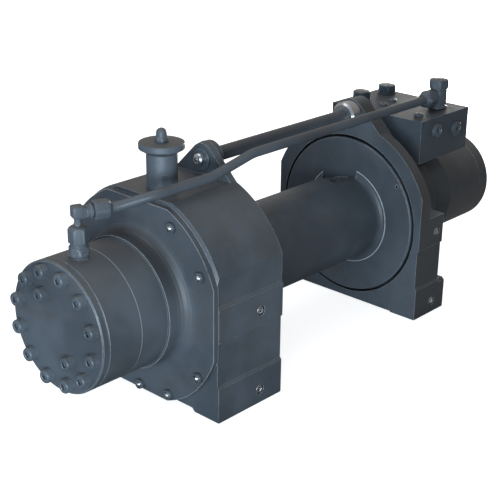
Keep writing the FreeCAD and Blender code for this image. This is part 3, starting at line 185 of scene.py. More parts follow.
def paintMaterial(paint):
    material, shader, graph = startMaterial(paint["name"])
    coords = objectCoords(graph)
    broad = noise(graph, coords, paint["broadScale"])
    mottle = noise(graph, coords, paint["mottleScale"], 6.0, 0.65)
    grain = noise(graph, coords, paint["grainScale"], 4.0, 0.6)
    normal = shadingNormal(graph).split()

    # enamel with broad tone, specks and stains, and dust with painted top light on what looks up
    tone = broad.clip(0.35, 0.65).mix(paint["dark"], paint["light"])
    specked = (mottle.clip(0.55, 0.75) * 0.35).mix(tone, paint["light"])
    stains = noise(graph, coords, paint["stainScale"], 6.0, 0.7).clip(0.48, 0.72) * paint["stain"]
    dustAndTopLight = (normal[2] * 0.9 + (mottle - 0.5) * 0.7).clip(0.25, 1.1) * paint["dustAndTopLight"]
    colour = dustAndTopLight.mix(stains.mix(specked, paint["stainColour"]), paint["dustAndTopLightColour"])

    # painted shade in corners, in the cover's root and on the near faces of the motor end
    cornerShadeAmount = cornerShadeMask(graph, paint["cornerReach"]) * paint["cornerShade"]
    colour = cornerShadeAmount.mix(colour, paint["grimeAndShadeColour"])
    if paint["root"] or paint["sideShade"] or paint["turned"]:
        along, radius, above = axisPlaces(graph, coords)
    if paint["root"]:
        rootShade = rootShadeMask(paint["root"], radius, above) * paint["root"]["shadeAmount"]
        colour = rootShade.mix(colour, paint["grimeAndShadeColour"])
    if paint["sideShade"]:
        # painted shade: near faces darker towards the motor end
        nearFaces = (normal[1] * -1.0).clip(0.2, 0.9)
        motorEnd = along.clip(0.09, 0.13)
        colour = (nearFaces * motorEnd * paint["sideShade"]).mix(colour, paint["sideShadeColour"])

    # bare metal where edges are rubbed
    patches = (broad * 0.8 + mottle * 0.5).clip(paint["wearFrom"], paint["wearFrom"] + 0.2)
    edges = edgeMask(graph, paint["edgeRadius"]) * patches * paint["wear"]
    colour = edges.mix(colour, paint["edgeColour"])

    height = grain * paint["grain"] + mottle * 0.25
    bump = graph.node("ShaderNodeBump", {"Height": height, "Strength": 0.35, "Distance": 0.0003})
    if paint["turned"]:
        lines = {"W": along + radius, "Scale": paint["lineScale"], "Detail": 3.0, "Roughness": 0.7}
        line = graph.node("ShaderNodeTexNoise", lines, noise_dimensions="1D")
        turned = {"Height": line, "Strength": paint["turned"], "Distance": 0.00015, "Normal": bump}
        bump = graph.node("ShaderNodeBump", turned)
    setShader(shader, {
        "Base Color": colour,
        "Roughness": mottle * 0.16 + grain * 0.08 + paint["roughness"] - 0.12 + dustAndTopLight * 0.12,
        "Metallic": edges * 0.5,
        "Normal": bump,
        "Specular IOR Level": paint["sheen"],
    })
    return material


def metalMaterial(metal):
    material, shader, graph = startMaterial(metal["name"])
    coords = objectCoords(graph)
    broad = noise(graph, coords, metal["broadScale"], 4.0)
    stretched = graph.node("ShaderNodeMapping", {"Vector": coords, "Scale": metal["stretch"]})
    scratch = noise(graph, stretched, metal["scratchScale"], 3.0, 0.6)
    grime = (broad + (scratch - 0.5) * 0.3).clip(0.5, 0.75) * metal["grime"]
    setShader(shader, {
        "Base Color": grime.mix(metal["colour"], metal["grimeAndShadeColour"]),
        "Metallic": 1.0 - grime * 0.7,
        "Roughness": metal["roughness"] + scratch * 0.12 + grime * 0.3,
        "Normal": graph.node("ShaderNodeBump", {"Height": scratch, "Strength": 0.2, "Distance": 0.00008}),
    })
    return material


def plainMaterial(plain):
    material, shader, graph = startMaterial(plain["name"])
    mottle = noise(graph, objectCoords(graph), plain["scale"], 5.0, 0.65)
    setShader(shader, {
        "Base Color": mottle.clip(0.3, 0.7).mix(plain["dark"], plain["light"]),
        "Roughness": plain["roughness"] + mottle * 0.1,
        "Normal": graph.node("ShaderNodeBump", {"Height": mottle, "Strength": 0.3, "Distance": 0.0002}),
    })
    return material


basePaint = {
    "dark": (0.048, 0.059, 0.072),
    "light": (0.079, 0.095, 0.114),
    "stainColour": (0.062, 0.062, 0.062),
    "stain": 0.6,
    # dust with painted top light: a lighter warm tint on faces that look up
    "dustAndTopLightColour": (0.105, 0.098, 0.090),
    "dustAndTopLight": 0.5,
    # painted shade in corners and in the cover's root darkens towards this colour
    "grimeAndShadeColour": (0.018, 0.019, 0.021),
    "cornerShade": 0.75,
    "cornerReach": 0.02,
    "edgeColour": (0.62, 0.66, 0.70),
    "edgeRadius": 0.0010,
    "wear": 0.8,
    "wearFrom": 0.5,  # a lower value rubs longer stretches of edge bare
    "roughness": 0.42,
    "sheen": 0.40,
    "broadScale": 9.0,
    "stainScale": 16.0,
    "mottleScale": 90.0,
    "grainScale": 420.0,
    "grain": 0.6,
    "lineScale": 1500.0,
    "turned": 0.0,  # depth of the lines that a lathe leaves
    "root": None,  # painted shade in the cover's concave root
    "sideShade": 0.0,  # painted shade on near faces at the motor end
    "sideShadeColour": (0.036, 0.034, 0.031),
}
paints = {
    "housing_paint": {
        # painted shade on the near faces at the motor end
        **basePaint, "name": "housingPaint", "grain": 1.2, "grainScale": 260.0, "sideShade": 0.7,
        "wearFrom": 0.42, "wear": 0.9,
    },
    "cover_paint": {
        **basePaint, "name": "coverPaint", "dustAndTopLight": 0.35, "edgeRadius": 0.0016, "wear": 1.0,
        "wearFrom": 0.4, "cornerReach": 0.035, "cornerShade": 0.9, "roughness": 0.46,
        # painted shade in the root's upper part, between the inner and outer radii
        "root": {
            "inner": 0.0875, "dark": 0.0890, "outer": 0.0975, "low": 0.01, "high": 0.06, "shadeAmount": 0.65,
        },
    },
    "case_paint": {
        **basePaint, "name": "casePaint", "turned": 0.25, "grain": 0.3, "edgeRadius": 0.0014,
        "wear": 1.0, "wearFrom": 0.3, "stain": 0.9,
    },
    "drum_paint": {
        **basePaint, "name": "drumPaint", "grain": 0.9, "dustAndTopLight": 0.0, "turned": 0.12, "wearFrom": 0.4,
        "wear": 0.9, "edgeRadius": 0.0012, "stain": 0.8,
    },
    "motor_paint": {
        **basePaint, "name": "motorPaint", "turned": 0.15, "roughness": 0.4,
        "dark": (0.040, 0.045, 0.050), "light": (0.060, 0.066, 0.072),
    },
    # the valve block's enamel, its tones set darker than the housing's as painted shade for the light's fall-off
    # at the block
    "block_paint": {
        **basePaint, "name": "blockPaintShaded", "dustAndTopLight": 0.3, "roughness": 0.5, "sheen": 0.3,
        "dark": (0.044, 0.056, 0.070), "light": (0.066, 0.082, 0.100), "stain": 0.5,
    },
    "screw_paint": {
        **basePaint, "name": "screwPaint", "wear": 1.0, "wearFrom": 0.4, "edgeRadius": 0.0005,
        "grain": 0.4, "dark": (0.050, 0.065, 0.080), "light": (0.078, 0.099, 0.120), "stain": 0.2,
        "roughness": 0.36, "sheen": 0.5, "cornerReach": 0.012,
    },
    "line_paint": {
        **basePaint, "name": "linePaint", "grain": 0.3, "edgeRadius": 0.0005, "cornerShade": 0.9,
    },
    "clutch_paint": {
        **basePaint, "name": "clutchPaint", "grain": 0.4, "edgeRadius": 0.0006, "roughness": 0.46,
        "dark": (0.066, 0.082, 0.100), "light": (0.092, 0.112, 0.136), "stain": 0.3, "dustAndTopLight": 0.9,
    },
}
baseMetal = {
    "grimeAndShadeColour": (0.12, 0.11, 0.1),
    "grime": 0.5,
    "broadScale": 30.0,
    "scratchScale": 700.0,
    "stretch": (1.0, 1.0, 1.0),
}
metals = {
    "bare_steel": {
        **baseMetal, "name": "bareSteel", "colour": (0.56, 0.57, 0.58), "roughness": 0.24,
        "stretch": (1.0, 0.15, 0.15),
    },
    "gear_steel": {**baseMetal, "name": "gearSteel", "colour": (0.42, 0.42, 0.42), "roughness": 0.3},
    "spring_steel": {
        **baseMetal, "name": "springSteel", "colour": (0.2, 0.21, 0.24), "roughness": 0.35,
    },
    "bronze": {**baseMetal, "name": "bronze", "colour": (0.55, 0.34, 0.14), "roughness": 0.3},
}
plains = {
    "seal_rubber": {
        "name": "sealRubber", "dark": (0.012, 0.012, 0.012), "light": (0.025, 0.024, 0.023),
        "scale": 300.0, "roughness": 0.6,
    },
    "friction_lining": {
        "name": "frictionLining", "dark": (0.1, 0.075, 0.05), "light": (0.2, 0.15, 0.1),
        "scale": 500.0, "roughness": 0.7,
    },
}
materials = {slot: paintMaterial(paint) for slot, paint in paints.items()}
materials.update({slot: metalMaterial(metal) for slot, metal in metals.items()})
materials.update({slot: plainMaterial(plain) for slot, plain in plains.items()})
print("stage:", len(materials), "materials")

for part in frame["record"]["subparts"]:
    node = frame["nodes"][part["node"]]
    for index in range(len(node.data.materials)):
        node.data.materials[index] = materials[part["material_slot"]]


# mesh helpers

tip = 0.0004  # the small ring that closes a turned end
creaseAngle = 0.55  # radians; a sharper edge is shaded sharp
socketLead = 0.0006  # how much wider a socket is at its mouth


def sideways(axis):
    first = alongX if abs(axis.z) > 0.9 else axis.cross(up).normalized()
    return first, axis.cross(first)


def hexRadius(across, turn=0.0, limit=1.0):
    # a hexagon's outline, rounded off at its corners where the limit is smaller
    def radius(angle):
        step = (angle + turn) % (math.pi / 3) - math.pi / 6
        return min(across / 2 / math.cos(step), limit)
    return radius


def knurlRadius(size, depth, count):
    return lambda angle: size - depth * abs(math.sin(angle * count / 2))


def domeRings(base, rise, radius, steps=8):
    turns = [math.pi / 2 * step / steps for step in range(steps)]
    return [(base + rise * math.sin(turn), radius * math.cos(turn)) for turn in turns]


# the edges that meet these corners, each of them once
def edgesOf(verts):
    return list(dict.fromkeys(edge for vert in verts for edge in vert.link_edges))


# each ring is a height along the axis and a radius, which may depend on the angle
def lathe(bm, origin, axis, rings, segments=48, closeStart=True, closeEnd=True):
    start = bmesh.ops.create_circle(bm, cap_ends=closeStart, segments=segments, radius=1.0)
    made = start["verts"]
    verts = list(made)
    edges = edgesOf(made)
    for index, (height, radius) in enumerate(rings):
        if index:
            grown = bmesh.ops.extrude_edge_only(bm, edges=edges)["geom"]
            verts = [item for item in grown if isinstance(item, bmesh.types.BMVert)]
            edges = [item for item in grown if isinstance(item, bmesh.types.BMEdge) and item.is_boundary]
            made = made + verts
        for vert in verts:
            angle = math.atan2(vert.co.y, vert.co.x)
            size = radius(angle) if callable(radius) else radius
            vert.co = (size * math.cos(angle), size * math.sin(angle), height)
    if closeEnd:
        bmesh.ops.edgeloop_fill(bm, edges=edges)
    first, second = sideways(axis)
    turn = Matrix((first, second, axis)).transposed().to_4x4()
    bmesh.ops.transform(bm, matrix=Matrix.Translation(origin) @ turn, verts=made)


def makePiece(piece, bm):
    bmesh.ops.remove_doubles(bm, verts=bm.verts, dist=1e-7)
    bmesh.ops.recalc_face_normals(bm, faces=bm.faces)
    for face in bm.faces:
        face.smooth = True
    for edge in bm.edges:
        if len(edge.link_faces) == 2 and edge.calc_face_angle() > creaseAngle:
            edge.smooth = False
    mesh = bpy.data.meshes.new(piece["name"])
    bm.to_mesh(mesh)
    bm.free()
    mesh.materials.append(materials[piece["slot"]])
    made = bpy.data.objects.new(piece["name"], mesh)
    bpy.context.scene.collection.objects.link(made)
    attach(made, piece["body"])
    if "nodes" in piece:
        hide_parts(*piece["nodes"])


def ringPlaces(radius, angles, x):
    turns = [math.radians(angle) for angle in angles]
    return [Vector((x, -radius * math.cos(turn), axisHeight + radius * math.sin(turn))) for turn in turns]


def socketHead(bm, place, axis, head):
    outer = head["headRadius"]
    top = head["headHeight"]
    edge = head["edge"]
    side = knurlRadius(outer, head["knurl"], head["knurlCount"]) if head["knurl"] else outer
    socket = hexRadius(head["across"])
    rings = [
        (-0.0004, outer - 0.0004), (0.0002, outer),  # foot, a little below the face
        (0.0008, side), (top - edge * 1.6, side),
        (top - edge * 1.3, outer - edge * 0.12),  # rounded edge
        (top - edge * 0.5, outer - edge * 0.5),
        (top - edge * 0.12, outer - edge * 1.0),
        (top, outer - edge * 1.6),
        (top, hexRadius(head["across"] + 0.0008)), (top - 0.0006, socket),
        (top - head["socketDepth"], socket), (top - head["socketDepth"] - 0.0012, tip),
    ]
    lathe(bm, place, axis, rings, segments=head["segments"])


def hexHead(bm, place, axis, head):
    across = head["across"]
    top = head["headHeight"]
    washer = head["washer"]
    washerTop = head["washerHeight"]

    def rounded(share):
        return hexRadius(across, head["turn"], across * share)

    rings = [
        (0.0, washer - 0.0004), (0.0004, washer), (washerTop, washer),
        (washerTop + 0.0003, rounded(0.5)), (washerTop + 0.0010, rounded(0.57)),
        (top - 0.0016, rounded(0.575)), (top - 0.0006, rounded(0.535)),
        (top, rounded(0.49)), (top, tip),
    ]
    lathe(bm, place, axis, rings, segments=head["segments"])


# socket cap screws on the brake cap

capScrews = {
    "name": "capScrewHeads", "nodes": ["cap_screws"], "body": "frame", "slot": "screw_paint",
    "headRadius": 0.009, "headHeight": 0.011, "edge": 0.0016, "across": 0.0070, "socketDepth": 0.0038,
    "knurl": 0.00025, "knurlCount": 48, "segments": 192,
    "circle": 0.0717, "angles": range(15, 375, 30),
}
innerScrews = {
    **capScrews, "name": "innerScrewHeads", "nodes": ["cap_lifting_screws"],
    "circle": 0.0444, "angles": (120, 300),
}
for screws in (capScrews, innerScrews):
    bm = bmesh.new()
    for place in ringPlaces(screws["circle"], screws["angles"], low("brake_cap").x):
        socketHead(bm, place, -alongX, screws)
    makePiece(screws, bm)

# low screws round the end cover, each with a bright dome in a dark ring

coverScrews = {
    "name": "coverScrewHeads", "nodes": ["cover_screws"], "body": "frame", "slot": "screw_paint",
    "radius": 0.0065, "height": 0.0060, "mouth": 0.0049, "floor": 0.0046, "sink": 0.0022,
    "plateFace": -0.2775,
    "circles": (
        (0.1275, (28, 60, 120, 152)), (0.133, (-35.5, -66, -114, -144.5)), (0.126, (-90,)),
    ),
}
coverPlaces = [
    place for radius, angles in coverScrews["circles"]
    for place in ringPlaces(radius, angles, coverScrews["plateFace"])
]
radius = coverScrews["radius"]
height = coverScrews["height"]
headRings = [
    (-0.0004, radius - 0.0003), (0.0004, radius), (height - 0.0014, radius),
    (height - 0.0004, radius - 0.0005), (height, radius - 0.0011), (height, coverScrews["mouth"]),
    (height - coverScrews["sink"], coverScrews["floor"]), (height - coverScrews["sink"], tip),
]
bm = bmesh.new()
for place in coverPlaces:
    lathe(bm, place, -alongX, headRings)
makePiece(coverScrews, bm)

coverDomes = {
    "name": "coverScrewDomes", "body": "frame", "slot": "bare_steel", "radius": 0.0042, "height": 0.0079,
}
base = coverScrews["height"] - coverScrews["sink"]
domeTop = coverDomes["height"]
dome = [*domeRings(base, domeTop - base, coverDomes["radius"]), (domeTop, 0.0002)]
bm = bmesh.new()
for place in coverPlaces:
    lathe(bm, place, -alongX, dome)
makePiece(coverDomes, bm)

# set screws in the side holes of feet and pads

sidePlugs = {
    "name": "sideSetScrews", "nodes": ["side_hole_plugs"], "body": "frame", "slot": "bare_steel",
    "radius": 0.0062, "across": 0.0052, "sink": 0.0004,
    "columns": (-0.1935, 0.1935), "heights": (0.019, 0.131), "halfDepth": 0.135,
}
radius = sidePlugs["radius"]
socket = hexRadius(sidePlugs["across"])
plugRings = [
    (-0.008, radius), (-0.0020, radius), (-0.0009, radius - 0.0004), (-0.0002, radius - 0.0012),
    (0.0, radius - 0.0021), (0.0, hexRadius(sidePlugs["across"] + socketLead)),
    (-0.0005, socket), (-0.005, socket), (-0.006, tip),
]
bm = bmesh.new()
for x in sidePlugs["columns"]:
    for z in sidePlugs["heights"]:
        for side in (-1, 1):
            place = Vector((x, side * (sidePlugs["halfDepth"] - sidePlugs["sink"]), z))
            lathe(bm, place, Vector((0, side, 0)), plugRings)
makePiece(sidePlugs, bm)
print("stage: screws")

# plugs and screws on the valve block

blockTop = high("valve_block").z
hexPlugs = {
    "name": "blockHexPlugs", "nodes": ["block_hex_plugs"], "body": "frame", "slot": "screw_paint",
    "across": 0.0255, "headHeight": 0.0143, "washer": 0.0145, "washerHeight": 0.0022, "turn": 0.25,
    "segments": 72, "places": ((0.2544, 0.0615), (0.3159, 0.0575)),
}
bm = bmesh.new()
for x, y in hexPlugs["places"]:
    hexHead(bm, Vector((x, y, blockTop)), up, hexPlugs)
makePiece(hexPlugs, bm)

blockScrews = {
    "name": "blockScrewHeads", "nodes": ["block_screws"], "body": "frame", "slot": "screw_paint",
    "headRadius": 0.0070, "headHeight": 0.0034, "edge": 0.0016, "across": 0.0034, "socketDepth": 0.0016,
    "knurl": 0.0, "segments": 48, "places": ((0.2519, 0.0167), (0.2815, 0.0209), (0.2400, -0.0578)),
}
bm = bmesh.new()
for x, y in blockScrews["places"]:
    socketHead(bm, Vector((x, y, blockTop)), up, blockScrews)
makePiece(blockScrews, bm)

portPlugs = {
    "name": "portPlugHeads", "nodes": ["port_plugs"], "body": "frame", "slot": "screw_paint",
    "radius": 0.0106, "across": 0.0060, "places": ((0.2508, 0.2642), (0.3028, 0.2572)),
}
radius = portPlugs["radius"]
socket = hexRadius(portPlugs["across"])
plugRings = [
    (-0.001, radius + 0.0005), (0.0012, radius + 0.0005), (0.0018, radius), (0.0042, radius),
    (0.0049, radius - 0.0009), (0.0049, radius - 0.0034), (0.0041, radius - 0.0038),
    (0.0041, hexRadius(portPlugs["across"] + socketLead)), (0.0035, socket), (-0.003, socket), (-0.004, tip),
]
bm = bmesh.new()
for x, z in portPlugs["places"]:
    lathe(bm, Vector((x, low("valve_block").y, z)), nearSide, plugRings)
makePiece(portPlugs, bm)

# bolts at both ends of the tie bar: a dark washer and a bright domed head

tieHeight = middle("tie_bar").z
tieEnds = ((-0.162, -alongX), (0.1745, alongX))
tieWashers = {
    "name": "tieBoltWashers", "body": "frame", "slot": "screw_paint",
    "radius": 0.0140, "height": 0.0025, "hole": 0.004,
}
radius = tieWashers["radius"]
height = tieWashers["height"]
washerRings = [
    (-0.0005, radius), (height - 0.0005, radius), (height, radius - 0.0006), (height, tieWashers["hole"]),
]
bm = bmesh.new()
for x, axis in tieEnds:
    lathe(bm, Vector((x, 0, tieHeight)), axis, washerRings, closeEnd=False)
makePiece(tieWashers, bm)

tieBolts = {
    "name": "tieBoltHeads", "nodes": ["tie_bar_bolts"], "body": "frame", "slot": "bare_steel",
    "radius": 0.0086, "height": 0.0112, "across": 0.0062, "socketDepth": 0.0045,
}
radius = tieBolts["radius"]
height = tieBolts["height"]
socket = hexRadius(tieBolts["across"])
boltRings = [
    (0.0025, radius), (height - 0.0046, radius), (height - 0.0026, radius - 0.0007),
    (height - 0.0010, radius - 0.0023), (height, radius - 0.0044),
    (height, hexRadius(tieBolts["across"] + socketLead)), (height - 0.0006, socket),
    (height - tieBolts["socketDepth"], socket), (height - 0.0052, tip),
]
bm = bmesh.new()
for x, axis in tieEnds:
    lathe(bm, Vector((x, 0, tieHeight)), axis, boltRings)
makePiece(tieBolts, bm)

# heads of the through bolts on the motor

motorBolts = {
    "name": "motorBoltHeads", "nodes": ["motor_bolts"], "body": "frame", "slot": "screw_paint",
    "headRadius": 0.008, "headHeight": 0.010, "edge": 0.001, "across": 0.008, "socketDepth": 0.0055,
    "knurl": 0.0002, "knurlCount": 40, "segments": 160,
    "circle": 0.056, "angles": (45, 135, 225, 315),
}
bm = bmesh.new()
for place in ringPlaces(motorBolts["circle"], motorBolts["angles"], high("motor_end_cover").x):
    socketHead(bm, place, alongX, motorBolts)
makePiece(motorBolts, bm)
print("stage: plugs and bolts")

# brake release line: adapter and elbow on the brake case, elbow on the block, a nut at each end

brakePort = Vector((-0.374, -0.005, axisHeight + 0.0818))
brakeLineHeight = axisHeight + 0.1395
blockLineHeight = axisHeight + 0.167
tubeLeg = Vector((0.034, -0.01284, 0.0)).normalized()  # the way the tube leaves the brake elbow

adapter = {
    "name": "brakePortAdapter", "nodes": ["brake_port_adapter"], "body": "frame", "slot": "line_paint",
    "lowHex": 0.0235, "highHex": 0.0220, "highTurn": 0.6, "segments": 72,
}


def lowHex(limit):
    return hexRadius(adapter["lowHex"], limit=limit)


def highHex(limit):
    return hexRadius(adapter["highHex"], adapter["highTurn"], limit)


adapterRings = [
    (0.0, 0.0122), (0.0042, 0.0122), (0.0054, 0.0128), (0.0064, 0.0132),  # round foot
    (0.0072, lowHex(0.0128)), (0.0145, lowHex(0.0132)), (0.0158, lowHex(0.0118)),
    (0.0166, 0.0106), (0.0196, 0.0106),
    (0.0204, highHex(0.0112)), (0.0212, highHex(0.0127)), (0.0378, highHex(0.0127)), (0.0394, highHex(0.0114)),
    (0.0418, 0.0075), (0.0422, 0.0045),
    (0.0434, 0.0041), (0.0440, 0.0048), (0.0450, 0.0041), (0.0456, 0.0048), (0.0466, 0.0041),  # thread
    (0.0490, 0.0044), (0.0530, 0.0044),
]
bm = bmesh.new()
lathe(bm, brakePort, up, adapterRings, segments=adapter["segments"])
makePiece(adapter, bm)

brakeElbow = {
    "name": "brakeElbow", "nodes": ["brake_elbow"], "body": "frame", "slot": "line_paint",
    "size": 0.0145, "reachDown": 0.0060, "reachLeg": 0.0125, "legShare": 0.93, "rounding": 0.16,
    "collarStart": 0.0105,
}


# a forged body: one square arm down and one along the tube, both with rounded edges
def forgedElbow(bm, corner, down, leg, elbow):
    size = elbow["size"]
    across = down.cross(leg).normalized()
    arms = (
        (down, leg, -size * 0.62, elbow["reachDown"], size),
        (leg, down, -size * 0.47, elbow["reachLeg"], size * elbow["legShare"]),
    )
    for along, other, start, reach, thick in arms:
        verts = bmesh.ops.create_cube(bm, size=1.0)["verts"]
        for vert in verts:
            x, y, z = vert.co
            length = start + (x + 0.5) * (reach - start)
            vert.co = corner + along * length + other * (y * thick) + across * (z * thick)
        bm.normal_update()
        bmesh.ops.bevel(
            bm, geom=edgesOf(verts), offset=size * elbow["rounding"], segments=3, affect="EDGES",
            profile=0.5, material=-1,
        )


corner = Vector((brakePort.x, brakePort.y, brakeLineHeight))
collarRings = [
    (0.0, 0.0080), (0.0042, 0.0080), (0.0050, 0.0092), (0.0066, 0.0092), (0.0074, 0.0070), (0.0094, 0.0070),
]
bm = bmesh.new()
forgedElbow(bm, corner, -up, tubeLeg, brakeElbow)
lathe(bm, corner + tubeLeg * brakeElbow["collarStart"], tubeLeg, collarRings)
makePiece(brakeElbow, bm)

blockElbow = {
    "name": "blockElbow", "nodes": ["block_elbow"], "body": "frame", "slot": "line_paint",
    "place": (0.2975, -0.052), "lowHex": 0.0244, "highHex": 0.0270, "turn": 0.26, "segments": 72,
}
stem = hexRadius(blockElbow["lowHex"], blockElbow["turn"], 0.0132)


def headHex(limit):
    return hexRadius(blockElbow["highHex"], blockElbow["turn"], limit)


stemRings = [
    (0.0, 0.0132), (0.0012, 0.0145), (0.0034, 0.0145), (0.0044, 0.0130), (0.0060, 0.0122),  # washer
    (0.0078, stem), (0.0285, stem), (0.0293, 0.0118), (0.0303, 0.0118),
    (0.0310, headHex(0.0142)), (0.0318, headHex(0.0152)), (0.0430, headHex(0.0152)), (0.0444, headHex(0.0138)),
    (0.0450, 0.0118), (0.0450, tip),
]
armRings = [(0.006, 0.0092), (0.0152, 0.0092), (0.0160, 0.0080), (0.0190, 0.0080)]
bm = bmesh.new()
lathe(bm, Vector((*blockElbow["place"], blockTop)), up, stemRings, segments=blockElbow["segments"])
lathe(bm, Vector((*blockElbow["place"], blockLineHeight)), -alongX, armRings)
makePiece(blockElbow, bm)

tubeNuts = {
    "name": "tubeNuts", "nodes": ["tube_nuts"], "body": "frame", "slot": "line_paint",
    "across": 0.0255, "segments": 72, "thread": 0.0066, "bore": 0.00642, "sink": 0.0049,
    "brakeStart": (-0.360, -0.01004), "brakeShift": 0.0045, "brakeLength": 0.0225, "brakeShare": 0.87,
    "blockStart": (0.2800, -0.052), "blockLength": 0.0215, "blockShare": 0.96,
}
brakeNut = Vector((*tubeNuts["brakeStart"], brakeLineHeight)) + tubeLeg * tubeNuts["brakeShift"]
blockNut = Vector((*tubeNuts["blockStart"], blockLineHeight))
bm = bmesh.new()
for place, axis, length, share in (
    (brakeNut, tubeLeg, tubeNuts["brakeLength"], tubeNuts["brakeShare"]),
    (blockNut, -alongX, tubeNuts["blockLength"], tubeNuts["blockShare"]),
):
    across = tubeNuts["across"] * share
    nutRings = [
        (0.0, tubeNuts["thread"]), (0.0, across * 0.44),
        (0.0010, hexRadius(across, limit=across * 0.54)),
        (length - 0.0049, hexRadius(across, limit=across * 0.557)),
        (length - 0.0035, hexRadius(across, limit=across * 0.487)),
        (length - 0.0013, across * 0.39), (length, across * 0.33),
        (length, tubeNuts["bore"]), (length - tubeNuts["sink"], tubeNuts["bore"]),
    ]
    lathe(bm, place, axis, nutRings, segments=tubeNuts["segments"], closeStart=False, closeEnd=False)
makePiece(tubeNuts, bm)
print("stage: brake line")

# free-spool clutch: pull knob, cap nut and guide, all on one upright stem

clutchX = -0.233
knobBase = low("clutch_knob").z
guideBase = low("clutch_guide").z

knob = {
    "name": "clutchKnob", "nodes": ["clutch_knob"], "body": "clutch", "slot": "clutch_paint",
    "bore": 0.0055, "thick": 0.0119, "segments": 96,
}
knobRings = [
    (0.0, knob["bore"]), (0.0, 0.0222), (0.0004, 0.0230), (0.0036, 0.0286), (0.0044, 0.0292),
    (0.0106, 0.0293), (0.0115, 0.0288), (knob["thick"], 0.0278), (knob["thick"], knob["bore"]),
]
bm = bmesh.new()
lathe(
    bm, Vector((clutchX, 0, knobBase)), up, knobRings,
    segments=knob["segments"], closeStart=False, closeEnd=False,
)
makePiece(knob, bm)

capNut = {
    "name": "clutchCapNut", "nodes": ["clutch_cap_nut"], "body": "clutch", "slot": "clutch_paint",
    "across": 0.0155, "lift": 0.0112, "domeBase": 0.0125, "domeRise": 0.0060, "domeRadius": 0.0067,
}


def nutHex(limit):
    return hexRadius(capNut["across"], limit=limit)


capNutRings = [
    (0.0, 0.0078), (0.0006, nutHex(0.0086)), (0.0058, nutHex(0.0087)), (0.0068, nutHex(0.0078)), (0.0074, 0.0070),
    *domeRings(capNut["domeBase"], capNut["domeRise"], capNut["domeRadius"]), (0.0186, tip),
]
bm = bmesh.new()
lathe(bm, Vector((clutchX, 0, knobBase + capNut["lift"])), up, capNutRings)
makePiece(capNut, bm)

guide = {
    "name": "clutchGuide", "nodes": ["clutch_guide"], "body": "frame", "slot": "clutch_paint",
    "radius": 0.0198, "height": 0.0460, "mouth": 0.0082, "bore": 0.0139, "segments": 144,
    "flatAngle": math.radians(-117), "flatHalf": 0.32, "flatShare": 0.952,  # the flat looks to the near side
    "pinHeights": (0.024, 0.039), "pinSide": Vector((-0.8, -0.6, 0)), "pinStart": 0.0186,
}


def flattened(angle):
    radius = guide["radius"]
    turn = math.atan2(math.sin(angle - guide["flatAngle"]), math.cos(angle - guide["flatAngle"]))
    if abs(turn) < guide["flatHalf"]:
        return min(radius, radius * guide["flatShare"] / math.cos(turn))
    return radius


radius = guide["radius"]
guideRings = [
    (0.0, radius), (0.0062, radius), (0.0064, flattened), (0.0212, flattened), (0.0214, radius),
    (0.0446, radius), (0.0455, radius - 0.0004), (guide["height"], radius - 0.0012),
    (guide["height"], guide["mouth"]), (0.0420, guide["mouth"]), (0.0419, guide["bore"]),
    (0.0001, guide["bore"]),
]
pinRings = [(0.0, 0.0018), (0.0009, 0.0018), (0.0012, 0.0012), (0.0012, tip)]
bm = bmesh.new()
lathe(
    bm, Vector((clutchX, 0, guideBase)), up, guideRings,
    segments=guide["segments"], closeStart=False, closeEnd=False,
)
for height in guide["pinHeights"]:
    pinPlace = Vector((clutchX, 0, guideBase + height)) + guide["pinSide"] * guide["pinStart"]
    lathe(bm, pinPlace, guide["pinSide"], pinRings)
makePiece(guide, bm)
print("stage: clutch")

# camera at the photo's viewing angle

view = {
    "frame": 500, "focal": 1140.4, "centre": (237.86, 256.64),  # in the photo's pixels
    "sensor": 36, "azimuth": -46.87, "elevation": 22.294, "roll": 0.477,
    "target": (-0.093, 0, 0.136), "distance": 1.5809,
}
cameraData = bpy.data.cameras.new("camera")
cameraData.sensor_width = view["sensor"]
cameraData.lens = view["focal"] / view["frame"] * view["sensor"]
cameraData.shift_x = (view["frame"] / 2 - view["centre"][0]) / view["frame"]
cameraData.shift_y = (view["centre"][1] - view["frame"] / 2) / view["frame"]
cameraData.clip_start = 0.05
cameraData.clip_end = 50
camera = bpy.data.objects.new("camera", cameraData)
bpy.context.scene.collection.objects.link(camera)
azimuth = math.radians(view["azimuth"])
elevation = math.radians(view["elevation"])
flat = math.cos(elevation)
back = Vector((math.sin(azimuth) * flat, -math.cos(azimuth) * flat, math.sin(elevation)))
roll = Matrix.Rotation(math.radians(view["roll"]), 3, "Z").to_quaternion()
camera.location = Vector(view["target"]) + back * view["distance"]
camera.rotation_mode = "QUATERNION"
camera.rotation_quaternion = (-back).to_track_quat("-Z", "Y") @ roll
bpy.context.scene.camera = camera

# floor: white to the camera, plain grey to the light that it sends back

floor = {
    "size": 12, "drop": 0.0002, "others": (0.24, 0.23, 0.22), "camera": (0.66, 0.66, 0.66),
    "roughness": 0.9, "glow": 0.79,
}
floorMaterial, floorShader, floorGraph = startMaterial("floor")
floorSeen = floorGraph.node("ShaderNodeLightPath", output="Is Camera Ray")
setShader(floorShader, {
    "Base Color": floorSeen.mix(floor["others"], floor["camera"]),
    "Roughness": floor["roughness"],
    "Emission Color": floorSeen.mix((0.0, 0.0, 0.0), (1.0, 1.0, 1.0)),
    "Emission Strength": floor["glow"],
})
bm = bmesh.new()
bmesh.ops.create_grid(bm, x_segments=1, y_segments=1, size=floor["size"])
floorMesh = bpy.data.meshes.new("floor")
bm.to_mesh(floorMesh)
bm.free()
floorMesh.materials.append(floorMaterial)
floorPiece = bpy.data.objects.new("floor", floorMesh)
floorPiece.location.z = -floor["drop"]
bpy.context.scene.collection.objects.link(floorPiece)

# world: white to the camera, a soft studio from cool left to warm right for the rest

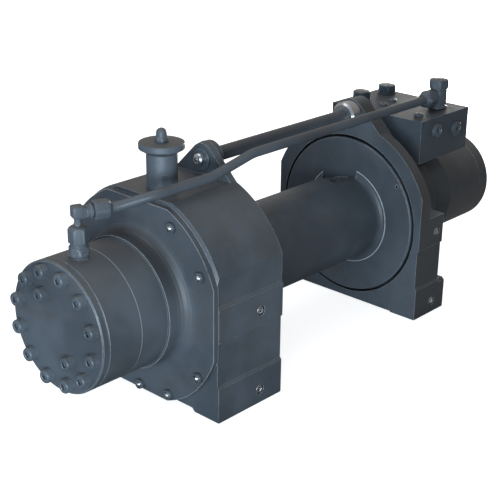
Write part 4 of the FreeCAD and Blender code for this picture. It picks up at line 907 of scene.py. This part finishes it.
studio = {
    "right": (0.30, 0.26, 0.24), "left": (0.58, 0.72, 0.88), "back": (0.60, 0.57, 0.53),
    "above": (0.32, 0.33, 0.35), "strength": 0.9,
}
world = bpy.data.worlds.new("world")
bpy.context.scene.world = world
world.use_nodes = True
world.node_tree.nodes.clear()
graph = Wire(world.node_tree)
eastward, northward, skyward = graph.node("ShaderNodeTexCoord", output="Generated").split()
fromLeft = (eastward * -1.0).clip(0.0, 0.95)
fromBack = (eastward * 0.7 + northward * 0.7).clip(0.1, 0.9)
shade = fromBack.mix(fromLeft.mix(studio["right"], studio["left"]), studio["back"])
shade = skyward.clip(0.45, 1.0).mix(shade, studio["above"])
light = graph.node("ShaderNodeBackground", {"Color": shade, "Strength": studio["strength"]})
white = graph.node("ShaderNodeBackground", {"Color": (1.0, 1.0, 1.0, 1.0), "Strength": 1.0})
seen = graph.node("ShaderNodeLightPath", output="Is Camera Ray")
mixed = graph.node("ShaderNodeMixShader", {0: seen, 1: light, 2: white})
out = world.node_tree.nodes.new("ShaderNodeOutputWorld")
world.node_tree.links.new(mixed.socket, out.inputs["Surface"])

# lamps

lamps = (
    {
        "name": "keyLight", "width": 1.3, "depth": 0.40, "power": 23.0, "colour": (0.78, 0.91, 1.0),
        "place": (-1.30, -0.82, 0.29), "target": (-0.25, 0, 0.10),
    },
    {
        "name": "topLight", "width": 1.6, "depth": 1.6, "power": 16.0, "colour": (0.97, 0.98, 1.0),
        "place": (-0.4, 0.6, 2.6), "target": (-0.1, 0, 0.1),
    },
    {
        "name": "fillLight", "width": 0.9, "depth": 0.36, "power": 22.0, "colour": (1.0, 0.98, 0.95),
        "place": (1.60, 0.45, 0.25), "target": (0.1, 0, 0.13),
    },
)
for lamp in lamps:
    data = bpy.data.lights.new(lamp["name"], "AREA")
    data.shape = "RECTANGLE"
    data.size = lamp["width"]
    data.size_y = lamp["depth"]
    data.energy = lamp["power"]
    data.color = lamp["colour"]
    made = bpy.data.objects.new(lamp["name"], data)
    made.location = lamp["place"]
    aim = Vector(lamp["target"]) - Vector(lamp["place"])
    made.rotation_mode = "QUATERNION"
    made.rotation_quaternion = aim.to_track_quat("-Z", "Y")
    bpy.context.scene.collection.objects.link(made)
bpy.context.scene.view_settings.view_transform = "Standard"
